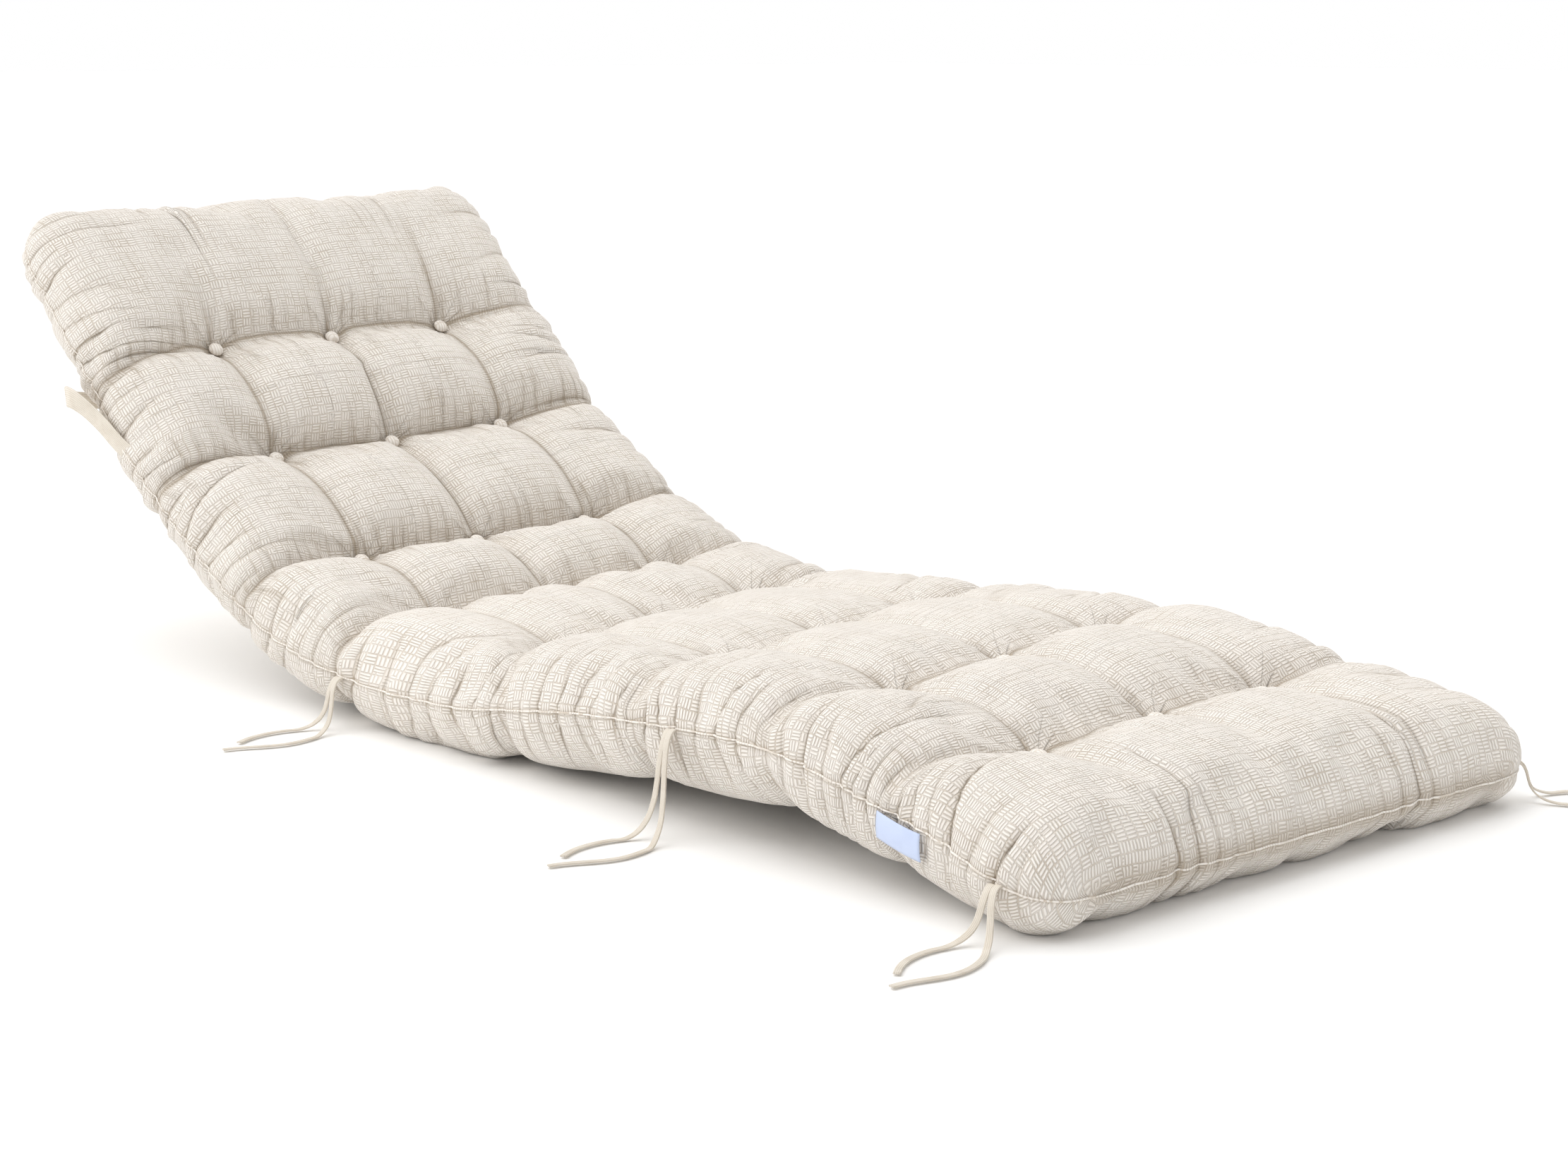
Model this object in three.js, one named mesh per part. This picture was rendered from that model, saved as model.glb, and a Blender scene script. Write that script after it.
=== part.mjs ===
// Sun lounger cushion in millimetres: a long tufted pad with covered buttons, tape ties, a strap behind the
// back and a small sewn-on patch. +X runs across it, +Y toward its head, +Z up, and it rests on Z = 0.

import * as THREE from "three";
import { ParametricGeometry } from "three/addons/geometries/ParametricGeometry.js";
import { mergeVertices } from "three/addons/utils/BufferGeometryUtils.js";

// Sewn rows from the head end to the foot end: the place of the mid-plane, how far the right end lies
// ahead of the middle, toward the head, how far past the outer columns the left and the right end trail
// behind that line, how high the side seam lies over the mid-plane, how much lower the right side lies,
// how much shallower the row is sewn on top, and how deep it is tucked where the pad bends
const ROWS = [
  { y: 723, z: 450, lead: 8, left: 0, right: 0, seam: 0, drop: 0, lift: 0, tuck: 0 },
  { y: 567, z: 298, lead: 5, left: 30, right: 0, seam: 0, drop: 0, lift: 0, tuck: 8 },
  { y: 452, z: 193, lead: 8, left: 26, right: 6, seam: 0, drop: 0, lift: 0, tuck: 11 },
  { y: 297, z: 101, lead: 10, left: 24, right: 0, seam: 0, drop: 0, lift: 0, tuck: 13 },
  { y: 165, z: 55, lead: 20, left: 34, right: 20, seam: 4, drop: 0, lift: 0, tuck: 13 },
  { y: -20, z: 44, lead: 76, left: 50, right: 38, seam: 9, drop: 0, lift: 6, tuck: 6 },
  { y: -260, z: 67, lead: 68, left: 12, right: 8, seam: 14, drop: 6, lift: 10, tuck: 4 },
  { y: -474, z: 81, lead: 50, left: -16, right: 8, seam: 14, drop: 16, lift: 10, tuck: 4 },
  { y: -640, z: 62, lead: 20, left: -20, right: 18, seam: 12, drop: 15, lift: 8, tuck: 6 },
  { y: -809, z: 32, lead: -6, left: 0, right: 0, seam: 0, drop: 0, lift: 0, tuck: 0 },
];
const PANELS = ROWS.length - 1;
const FIRST_TUFTED_ROW = 1;
const LAST_TUFTED_ROW = PANELS - 1;

// Plan of the pad
const HEAD_HALF_WIDTH = 300;
const FOOT_HALF_WIDTH = 312;
const RIM_REACH = 70;
const CORNER_POWER = 2.5;
const SEAM_DRAW_IN = 3;
const END_PANEL = 180;

// Heights of the two faces above and below the mid-plane
const TOP = { tuft: 22, alongRow: 13, alongColumn: 24, fullness: 2.2 };
const UNDER = { tuft: 37, alongRow: 4, alongColumn: 8, fullness: 4 };
const COLUMNS = [-1, 0, 1];

// How full the arcs are elsewhere: the fuller, the narrower the groove of the sewn line
const SIDE_FULLNESS = 5;
const COLUMN_FULLNESS = 3.6;

// Rows curve toward the head between their tufts, lie less deep at the sides, and are tucked over a short
// length of the pad
const ROW_CURVE = 0.035;
const SIDE_LIFT = 20;
const SIDE_TUCK = 0.3;
const TUCK_REACH = 20;

// The columns fade out across the two end panels
const COLUMN_FADE = { from: 0.1, to: 0.75, share: 0.75 };

// Fineness of the pad's facets
const SLICES_ROUND = 60;
const STACKS_PER_PANEL = 10;
const END_STACK_POWER = 1.7;

// Covered buttons
const BUTTON = { radius: 8, shank: 5.8, rim: 1.2, height: 10.5, stand: 0.6, sides: 10 };

// Tape ties: where each one leaves the side seam, the compass heading that it takes in degrees from +X,
// and the section of one strand
const TIES = [
  { name: "left_1", side: -1, place: 4.22, heading: 180 },
  { name: "left_2", side: -1, place: 6.3, heading: 180 },
  { name: "left_3", side: -1, place: 8.69, heading: 190 },
  { name: "right_1", side: 1, place: 4.22, heading: 0 },
  { name: "right_2", side: 1, place: 6.3, heading: 0 },
  { name: "right_3", side: 1, place: 8.871, heading: -43 },
];
const TAPE = { width: 6, thickness: 2, bevel: 0.6, lift: 1.4, steps: 7 };

// Strap behind the back
const STRAP = { width: 22, thickness: 2.4, place: 1.55, steps: 44 };

// Sewn-on patch, bare
const PATCH = { place: 7.97, length: 58, start: 2, drop: 33, thickness: 0.8, stand: 1.6, rows: 3 };

const FABRIC_COLOUR = 0xe7e0d5;
const TAPE_COLOUR = 0xe2d8c6;
const PATCH_COLOUR = 0xcdd9f2;

const cloth = (name, colour) => new THREE.MeshStandardMaterial({
  name,
  color: colour,
  roughness: 0.92,
  metalness: 0,
});

const midline = new THREE.CatmullRomCurve3(
  ROWS.map((row) => new THREE.Vector3(0, row.y, row.z)),
  false,
  "catmullrom",
  0.5,
);

// A value of the rows' table at any place along the pad, where rows lie at whole numbers
function rowValue(place, column) {
  const row = Math.min(Math.floor(place), PANELS - 1);
  const share = THREE.MathUtils.smoothstep(place - row, 0, 1);
  return THREE.MathUtils.lerp(ROWS[row][column], ROWS[row + 1][column], share);
}

// The pad's local frame: mid-plane point, direction toward the head, and direction out of the top face
function frameAt(place) {
  const t = THREE.MathUtils.clamp(place / PANELS, 0, 1);
  const origin = midline.getPoint(t);
  const headward = midline.getTangent(t).negate();
  const outward = new THREE.Vector3(0, -headward.z, headward.y);
  return { origin, headward, outward };
}

function halfWidth(place) {
  const share = THREE.MathUtils.smoothstep(place, 3, PANELS);
  return THREE.MathUtils.lerp(HEAD_HALF_WIDTH, FOOT_HALF_WIDTH, share);
}

// Half width on the side of x, drawn in where each sewn row meets that side
function drawnHalfWidth(x, place) {
  return halfWidth(place) - SEAM_DRAW_IN * (1 - bulge(rowGap(rowPlace(x, place, 1, 1)), SIDE_FULLNESS));
}

// Distance along the pad to its nearer end seam
function endDistance(place) {
  return Math.min(place, PANELS - place) * END_PANEL;
}

// Rise of a bulge from one sewn line to the middle of its panel, for a share of the half panel
function bulge(share, fullness) {
  return 1 - (1 - Math.min(share, 1)) ** fullness;
}

function nearestRow(place) {
  return THREE.MathUtils.clamp(Math.round(place), FIRST_TUFTED_ROW, LAST_TUFTED_ROW);
}

// Share of the half panel between a place and its nearest tufted row
function rowGap(place) {
  return 2 * Math.abs(place - nearestRow(place));
}

function bulgeAcross(x, place, half) {
  const columns = Math.abs(x) / (half / 2);
  const gap = 2 * (columns > 1 ? columns - 1 : Math.min(columns, 1 - columns));
  const past = Math.max(FIRST_TUFTED_ROW - place, place - LAST_TUFTED_ROW);
  const fade = COLUMN_FADE.share * THREE.MathUtils.smoothstep(past, COLUMN_FADE.from, COLUMN_FADE.to);
  return THREE.MathUtils.lerp(bulge(gap, COLUMN_FULLNESS), 1, fade);
}

function tuckAt(place) {
  const row = nearestRow(place);
  const length = midline.getPoint(place / PANELS).distanceTo(midline.getPoint(row / PANELS));
  return ROWS[row].tuck * Math.exp(-((length / TUCK_REACH) ** 2));
}

// A place along the pad as the curved rows count it
function rowPlace(x, place, side, across) {
  const trail = side * rowValue(place, x < 0 ? "left" : "right");
  const shift = ROW_CURVE * across - trail / END_PANEL;
  return THREE.MathUtils.clamp(place + shift, 0, PANELS);
}

// Height of a face over the mid-plane, before it falls away to the seam
function faceHeight(face, x, place, half) {
  const side = THREE.MathUtils.smoothstep(Math.abs(x), half / 2, half);
  const across = bulgeAcross(x, place, half);
  const curved = rowPlace(x, place, side, across);
  const along = bulge(rowGap(curved), THREE.MathUtils.lerp(face.fullness, SIDE_FULLNESS, side));
  const arcs = face.alongColumn * along + face.alongRow * across;
  if (face === UNDER) return face.tuft + arcs;
  const tuck = tuckAt(curved) * across * THREE.MathUtils.lerp(1, SIDE_TUCK, side);
  const lift = THREE.MathUtils.lerp(rowValue(curved, "lift"), SIDE_LIFT, side);
  return face.tuft + arcs + lift * (1 - along) - tuck;
}

// Where the side seam is, and the share of full height at a distance from the seams
function seamHalfWidth(x, place) {
  const end = Math.max(0, 1 - endDistance(place) / RIM_REACH);
  const side = (1 - end ** CORNER_POWER) ** (1 / CORNER_POWER);
  return drawnHalfWidth(x, place) - RIM_REACH * (1 - side);
}

function rimShare(x, place, half) {
  const end = Math.max(0, 1 - endDistance(place) / RIM_REACH);
  const side = Math.max(0, 1 - (half - Math.abs(x)) / RIM_REACH);
  const reach = Math.min(1, (end ** CORNER_POWER + side ** CORNER_POWER) ** (1 / CORNER_POWER));
  return Math.sqrt(1 - reach ** 2);
}

// A point of the pad's skin: x across, place along, height over the mid-plane
function placePoint(x, place, height, target) {
  const { origin, headward, outward } = frameAt(place);
  const share = x / HEAD_HALF_WIDTH;
  const lead = rowValue(place, "lead") * share;
  const rise = height - rowValue(place, "drop") * Math.max(share, 0) ** 2;
  target.copy(origin).addScaledVector(headward, lead).addScaledVector(outward, rise);
  target.x = x;
  return target;
}

// Round the section from the right seam over the top to the left seam and back underneath
function padSkin(u, v, target) {
  const angle = 2 * Math.PI * u;
  const station = PANELS * v;
  const place = crowdEnds(station);
  const toRight = Math.cos(angle);
  const half = drawnHalfWidth(toRight, place);
  const x = seamHalfWidth(toRight, place) * toRight;
  const isTop = Math.sin(angle) >= 0;
  const face = isTop ? TOP : UNDER;
  const share = rimShare(x, place, half);
  const height = share * faceHeight(face, x, place, half);
  placePoint(x, place, (isTop ? height : -height) + (1 - share) * rowValue(place, "seam"), target);
  target.z = Math.max(target.z, 0);
}

// Sections stand closer together toward the two end seams
function crowdEnds(station) {
  if (station < 1) return station ** END_STACK_POWER;
  if (station > PANELS - 1) return PANELS - (PANELS - station) ** END_STACK_POWER;
  return station;
}

function closed(geometry) {
  geometry.deleteAttribute("normal");
  geometry.deleteAttribute("uv");
  const merged = mergeVertices(geometry, 1e-3);
  const corners = merged.index.array;
  const kept = [];
  for (let i = 0; i < corners.length; i += 3) {
    const [a, b, c] = [corners[i], corners[i + 1], corners[i + 2]];
    if (a !== b && b !== c && c !== a) kept.push(a, b, c);
  }
  merged.setIndex(kept);
  merged.computeVertexNormals();
  return merged;
}

function named(name, geometry, material) {
  const mesh = new THREE.Mesh(geometry, material);
  mesh.name = name;
  return mesh;
}

function makePad(material) {
  const stacks = STACKS_PER_PANEL * PANELS;
  const skin = new ParametricGeometry(padSkin, SLICES_ROUND, stacks);
  return named("cushion", closed(skin), material);
}

// A domed button whose underside tapers to the shank in the bottom of its tuft
function buttonGeometry() {
  const shoulder = BUTTON.shank + BUTTON.rim;
  const crown = BUTTON.height - shoulder;
  const profile = [
    new THREE.Vector2(0, 0),
    new THREE.Vector2(BUTTON.radius, BUTTON.shank),
    new THREE.Vector2(BUTTON.radius, shoulder),
    new THREE.Vector2(BUTTON.radius * 0.62, shoulder + crown * 0.75),
    new THREE.Vector2(0, BUTTON.height),
  ];
  const dome = new THREE.LatheGeometry(profile, BUTTON.sides);
  dome.rotateX(Math.PI / 2);
  return closed(dome);
}

function makeButtons(material) {
  const geometry = buttonGeometry();
  const buttons = [];
  for (let row = FIRST_TUFTED_ROW; row <= LAST_TUFTED_ROW; row += 1) {
    const { outward } = frameAt(row);
    COLUMNS.forEach((column, index) => {
      const half = drawnHalfWidth(column, row);
      const x = (column * half) / 2;
      const button = named(`button_r${row}_c${index + 1}`, geometry, material);
      placePoint(x, row, faceHeight(TOP, x, row, half) + BUTTON.stand, button.position);
      button.rotation.x = Math.atan2(-outward.y, outward.z);
      buttons.push(button);
    });
  }
  return buttons;
}

// The two strands of a tie, from the seam out, down and along the surface: outward along the tie's
// heading, sideways to the left of it, and up as a share of the seam's height
const LONG_STRAND = [
  { out: 0.95, side: 3.2, up: 1.0 },
  { out: 5, side: 3.2, up: 0.98 },
  { out: 9, side: 3.5, up: 0.9 },
  { out: 12, side: 4.2, up: 0.74 },
  { out: 14, side: 5, up: 0.56 },
  { out: 16, side: 6, up: 0.38 },
  { out: 20, side: 8, up: 0.2 },
  { out: 27, side: 11, up: 0.08 },
  { out: 37, side: 15, up: 0 },
  { out: 49, side: 19, up: 0 },
  { out: 61, side: 21, up: 0 },
  { out: 73, side: 21, up: 0 },
  { out: 85, side: 18, up: 0 },
  { out: 96, side: 13, up: 0 },
  { out: 107, side: 7, up: 0 },
  { out: 118, side: 2, up: 0 },
  { out: 129, side: -1, up: 0 },
];
const SHORT_STRAND = [
  { out: 0.95, side: -3.2, up: 0.99 },
  { out: 4.5, side: -3.2, up: 0.96 },
  { out: 8, side: -3.6, up: 0.86 },
  { out: 10.5, side: -4.6, up: 0.7 },
  { out: 12, side: -6, up: 0.52 },
  { out: 14, side: -8, up: 0.34 },
  { out: 18, side: -11, up: 0.18 },
  { out: 25, side: -15, up: 0.06 },
  { out: 35, side: -19, up: 0 },
  { out: 47, side: -23, up: 0 },
  { out: 59, side: -25, up: 0 },
  { out: 71, side: -25, up: 0 },
  { out: 83, side: -23, up: 0 },
  { out: 94, side: -19, up: 0 },
  { out: 104, side: -14, up: 0 },
];

function tapeSection() {
  const [w, t, b] = [TAPE.width / 2, TAPE.thickness / 2, TAPE.bevel];
  return new THREE.Shape([
    new THREE.Vector2(w, t - b),
    new THREE.Vector2(w - b, t),
    new THREE.Vector2(b - w, t),
    new THREE.Vector2(-w, t - b),
    new THREE.Vector2(-w, b - t),
    new THREE.Vector2(b - w, -t),
    new THREE.Vector2(w - b, -t),
    new THREE.Vector2(w, b - t),
  ]);
}

function strandGeometry(strand, seamHeight) {
  const rest = TAPE.thickness / 2 + TAPE.lift;
  const route = strand.map(({ out, side, up }) => (
    new THREE.Vector3(out, side, rest + (seamHeight - rest) * up)
  ));
  const path = new THREE.CatmullRomCurve3(route);
  return closed(new THREE.ExtrudeGeometry(tapeSection(), { steps: TAPE.steps, extrudePath: path }));
}

function makeStrand(tie, name, strand, material) {
  const x = tie.side * seamHalfWidth(tie.side, tie.place);
  const seam = placePoint(x, tie.place, rowValue(tie.place, "seam"), new THREE.Vector3());
  const mesh = named(`tie_${tie.name}_${name}`, strandGeometry(strand, seam.z), material);
  mesh.position.set(seam.x, seam.y, 0);
  mesh.rotation.z = THREE.MathUtils.degToRad(tie.heading);
  return mesh;
}

function makeTies(material) {
  return TIES.flatMap((tie) => [
    makeStrand(tie, "long", LONG_STRAND, material),
    makeStrand(tie, "short", SHORT_STRAND, material),
  ]);
}

// Half of the strap, from the side seam to the middle of the back: out from the mid-line, toward the
// head, behind the mid-plane, and the turn of its flat face from facing sideways to facing the back
const STRAP_HALF = [
  { out: 301.8, head: -20, behind: -5, turn: 90 },
  { out: 303, head: 2, behind: -1, turn: 90 },
  { out: 306, head: 22, behind: 2, turn: 90 },
  { out: 311, head: 43, behind: 5, turn: 86 },
  { out: 316, head: 62, behind: 10, turn: 70 },
  { out: 314, head: 78, behind: 22, turn: 50 },
  { out: 300, head: 92, behind: 42, turn: 25 },
  { out: 268, head: 104, behind: 64, turn: 8 },
  { out: 200, head: 112, behind: 80, turn: 0 },
  { out: 100, head: 116, behind: 88, turn: 0 },
  { out: 0, head: 117, behind: 91, turn: 0 },
];

function strapGeometry() {
  const { origin, headward, outward } = frameAt(STRAP.place);
  const mirrored = STRAP_HALF.slice(0, -1).reverse().map((section) => ({ ...section, out: -section.out }));
  const sections = [...STRAP_HALF, ...mirrored];
  const centre = new THREE.CatmullRomCurve3(sections.map((section) => new THREE.Vector3(
    -section.out,
    section.head,
    -section.behind,
  )));
  const turns = new THREE.SplineCurve(sections.map((section, i) => new THREE.Vector2(i, section.turn)));
  const corners = [];
  for (let step = 0; step <= STRAP.steps; step += 1) {
    const t = step / STRAP.steps;
    const point = centre.getPoint(t);
    const tangent = centre.getTangent(t);
    const turn = THREE.MathUtils.degToRad(turns.getPoint(t).y);
    const across = new THREE.Vector3(0, Math.cos(turn), Math.sin(turn));
    across.addScaledVector(tangent, -across.dot(tangent)).normalize();
    const through = new THREE.Vector3().crossVectors(tangent, across);
    [[-1, -1], [1, -1], [1, 1], [-1, 1]].forEach(([a, b]) => {
      const local = point.clone()
        .addScaledVector(across, (a * STRAP.width) / 2)
        .addScaledVector(through, (b * STRAP.thickness) / 2);
      const corner = origin.clone()
        .addScaledVector(headward, local.y)
        .addScaledVector(outward, local.z);
      corner.x = local.x;
      corners.push(corner);
    });
  }
  return loftedBar(corners, STRAP.steps);
}

// A closed four-sided bar through rings of four corners
function loftedBar(corners, steps) {
  const geometry = new THREE.BufferGeometry().setFromPoints(corners);
  const faces = [];
  const quad = (a, b, c, d) => faces.push(a, b, c, a, c, d);
  for (let step = 0; step < steps; step += 1) {
    for (let side = 0; side < 4; side += 1) {
      const next = (side + 1) % 4;
      const [low, high] = [4 * step, 4 * (step + 1)];
      quad(low + side, low + next, high + next, high + side);
    }
  }
  const last = 4 * steps;
  quad(3, 2, 1, 0);
  quad(last, last + 1, last + 2, last + 3);
  geometry.setIndex(faces);
  geometry.computeVertexNormals();
  return geometry;
}

// The patch hangs from the left side seam and follows the side below it
function patchGeometry() {
  const corners = [];
  for (let row = 0; row <= PATCH.rows; row += 1) {
    const share = row / PATCH.rows;
    const stretch = PATCH.length / 2 / END_PANEL;
    [[-1, 0], [1, 0], [1, 1], [-1, 1]].forEach(([end, layer]) => {
      const place = PATCH.place + end * stretch;
      const half = drawnHalfWidth(-1, place);
      const seam = rowValue(place, "seam");
      const drop = PATCH.start + (PATCH.drop - PATCH.start) * share;
      const fall = drop / (faceHeight(UNDER, -half, place, half) + seam);
      const inward = RIM_REACH * (1 - Math.sqrt(1 - fall ** 2));
      const x = inward - half - PATCH.stand - layer * PATCH.thickness;
      corners.push(placePoint(x, place, seam - drop, new THREE.Vector3()));
    });
  }
  return loftedBar(corners, PATCH.rows);
}

function makeCushion() {
  const fabric = cloth("fabric", FABRIC_COLOUR);
  const tape = cloth("tape", TAPE_COLOUR);
  const object = new THREE.Group();
  object.add(makePad(fabric));
  object.add(...makeButtons(fabric));
  object.add(...makeTies(tape));
  object.add(named("back_strap", strapGeometry(), tape));
  object.add(named("side_patch", patchGeometry(), cloth("patch", PATCH_COLOUR)));
  const pad = new THREE.Box3().setFromObject(object.children[0]);
  object.position.y = -(pad.min.y + pad.max.y) / 2;
  return object;
}

export default makeCushion();
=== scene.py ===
"""Sun lounger cushion: the pad, its covered buttons, side seam, tape ties, back strap and patch."""

import logging
import math
from dataclasses import dataclass, field
from enum import Enum
from typing import NamedTuple

import bpy
import numpy as np
from mathutils import Matrix, Vector, noise
from mathutils.bvhtree import BVHTree


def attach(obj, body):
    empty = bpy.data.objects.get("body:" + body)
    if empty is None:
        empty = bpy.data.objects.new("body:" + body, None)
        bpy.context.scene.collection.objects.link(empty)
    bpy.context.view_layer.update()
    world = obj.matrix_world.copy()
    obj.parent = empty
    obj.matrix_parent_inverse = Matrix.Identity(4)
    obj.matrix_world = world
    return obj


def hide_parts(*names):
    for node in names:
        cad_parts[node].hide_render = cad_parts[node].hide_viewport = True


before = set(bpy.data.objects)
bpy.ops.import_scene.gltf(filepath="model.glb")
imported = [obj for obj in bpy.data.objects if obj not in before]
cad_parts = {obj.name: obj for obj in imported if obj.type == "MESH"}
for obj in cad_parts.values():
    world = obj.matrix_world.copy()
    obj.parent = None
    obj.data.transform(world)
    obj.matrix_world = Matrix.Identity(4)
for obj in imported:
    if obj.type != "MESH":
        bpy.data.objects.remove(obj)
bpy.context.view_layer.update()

log = logging.getLogger("cushion")
MM = 0.001
SEED = 17


# Small helpers


def smooth(value: np.ndarray) -> np.ndarray:
    """Eases a share from 0 to 1 in and out."""
    share = np.clip(value, 0.0, 1.0)
    return share * share * (3.0 - 2.0 * share)


def spline(points: np.ndarray, share: np.ndarray) -> np.ndarray:
    """Runs a smooth curve through points.

    Args:
        points: One row of numbers for each point that the curve passes.
        share: Where on the curve to look, from 0 at its start to 1 at its end.

    Returns:
        One row of numbers for each share.
    """
    whole = np.vstack([2 * points[0] - points[1], points, 2 * points[-1] - points[-2]])
    spans = len(points) - 1
    at = np.clip(share, 0.0, 1.0) * spans
    i = np.clip(np.floor(at).astype(int), 0, spans - 1)
    t = (at - i)[..., None]
    a, b, c, d = whole[i], whole[i + 1], whole[i + 2], whole[i + 3]
    return 0.5 * (
        2 * b + (c - a) * t + (2 * a - 5 * b + 4 * c - d) * t**2 + (3 * b - a - 3 * c + d) * t**3
    )


def mesh_piece(name: str, points: np.ndarray, faces: list) -> bpy.types.Object:
    """Makes a smooth-shaded mesh object at the origin.

    Args:
        name: The piece's name.
        points: Vertex places in metres.
        faces: Corner numbers of each face, outwards.

    Returns:
        The new object, linked to the scene.
    """
    mesh = bpy.data.meshes.new(name)
    mesh.from_pydata([tuple(p) for p in points], [], [tuple(f) for f in faces])
    mesh.shade_smooth()
    piece = bpy.data.objects.new(name, mesh)
    bpy.context.scene.collection.objects.link(piece)
    return piece


def places(mesh: bpy.types.Mesh) -> np.ndarray:
    """Reads every vertex place of a mesh.

    Args:
        mesh: The mesh.

    Returns:
        One row of three numbers for each vertex, in metres.
    """
    co = np.empty(len(mesh.vertices) * 3)
    mesh.vertices.foreach_get("co", co)
    return co.reshape(-1, 3)


def put_places(mesh: bpy.types.Mesh, points: np.ndarray) -> None:
    """Writes every vertex place of a mesh."""
    mesh.vertices.foreach_set("co", np.ascontiguousarray(points, dtype=np.float32).ravel())
    mesh.update()


def outward_normals(mesh: bpy.types.Mesh) -> np.ndarray:
    """Reads every vertex normal of a mesh.

    Args:
        mesh: The mesh.

    Returns:
        One row of three numbers for each vertex.
    """
    normals = np.empty(len(mesh.vertices) * 3)
    mesh.vertex_normals.foreach_get("vector", normals)
    return normals.reshape(-1, 3)


def put_attribute(mesh: bpy.types.Mesh, name: str, values: np.ndarray) -> None:
    """Keeps one number for each vertex under a name."""
    layer = mesh.attributes.get(name) or mesh.attributes.new(name, "FLOAT", "POINT")
    layer.data.foreach_set("value", np.ascontiguousarray(values, dtype=np.float32))


def put_vectors(mesh: bpy.types.Mesh, name: str, values: np.ndarray) -> None:
    """Keeps three numbers for each vertex under a name."""
    layer = mesh.attributes.new(name, "FLOAT_VECTOR", "POINT")
    layer.data.foreach_set("vector", np.ascontiguousarray(values, dtype=np.float32).ravel())


def put_map(mesh: bpy.types.Mesh, name: str, spots: np.ndarray) -> None:
    """Keeps where each face corner lies on its cloth, in metres across and along."""
    layer = mesh.uv_layers.new(name=name)
    layer.data.foreach_set("uv", np.asarray(spots, dtype=np.float32).ravel())


def rest_on_surface(mesh: bpy.types.Mesh) -> None:
    """Lifts every point that would lie under the surface on to it.

    Args:
        mesh: The mesh.
    """
    points = places(mesh)
    points[:, 2] = np.maximum(points[:, 2], 0.0)
    put_places(mesh, points)


def run_length(points: np.ndarray) -> np.ndarray:
    """Gives the distance along a row of points, from 0 at the first."""
    return np.concatenate([[0], np.cumsum(np.linalg.norm(np.diff(points, axis=0), axis=1))])


def skin_tree(piece: bpy.types.Object) -> BVHTree:
    """Makes a search tree of a piece's faces."""
    mesh = piece.data
    return BVHTree.FromPolygons([v.co for v in mesh.vertices], [p.vertices[:] for p in mesh.polygons])


def attribute(mesh: bpy.types.Mesh, name: str) -> np.ndarray:
    """Reads the number that each vertex keeps under a name.

    Args:
        mesh: The mesh.
        name: The name.

    Returns:
        One number for each vertex.
    """
    values = np.empty(len(mesh.vertices))
    mesh.attributes[name].data.foreach_get("value", values)
    return values


def bulge(share: np.ndarray, fullness: np.ndarray | float) -> np.ndarray:
    """Gives the rise from one sewn line to the middle of its panel, for a share of the half panel."""
    return 1 - np.abs(1 - np.minimum(share, 1)) ** fullness


def finished_mesh(piece: bpy.types.Object) -> None:
    """Turns a piece with modifiers into its plain finished mesh.

    Args:
        piece: The piece.
    """
    view = bpy.context.evaluated_depsgraph_get()
    done = bpy.data.meshes.new_from_object(piece.evaluated_get(view), depsgraph=view)
    piece.modifiers.clear()
    old = piece.data
    piece.data = done
    bpy.data.meshes.remove(old)


def run_nodes(piece: bpy.types.Object, tree: bpy.types.NodeTree, values: dict) -> None:
    """Runs a node tree on a piece and keeps the plain mesh that comes out.

    Args:
        piece: The piece whose mesh the tree starts from.
        tree: The geometry node tree.
        values: Input name to its value.
    """
    maker = piece.modifiers.new(tree.name, "NODES")
    maker.node_group = tree
    sockets = {s.name: s.identifier for s in tree.interface.items_tree if s.in_out == "INPUT"}
    for name, value in values.items():
        maker[sockets[name]] = value
    finished_mesh(piece)
    piece.data.shade_smooth()


def rough_noise(points: np.ndarray, size: float, seed: float) -> np.ndarray:
    """Gives soft lumps between about -1 and 1 at every point.

    Args:
        points: Places in metres.
        size: The size of a lump in metres.
        seed: Moves the pattern to another part of the noise.

    Returns:
        One number for each point.
    """
    shift = Vector((seed, 1.7 * seed, 0.6 * seed))
    return np.array([noise.noise(Vector(p) / size + shift) for p in points])


# Form of the pad


class Face(Enum):
    """The pad's two faces, each with the heights of its tufts and arcs in mm, and their fullness."""

    TOP = (22.0, 13.0, 24.0, 2.2)
    UNDER = (37.0, 4.0, 8.0, 4.0)


class Row(NamedTuple):
    """One sewn row, in mm: its mid-plane, how far its right end leads, how far its ends trail past the
    outer columns, the height of the side seam, how much lower the right side lies, how much shallower
    it is sewn and how deep it is tucked."""

    y: float
    z: float
    lead: float
    left: float = 0.0
    right: float = 0.0
    seam: float = 0.0
    drop: float = 0.0
    lift: float = 0.0
    tuck: float = 0.0


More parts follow.
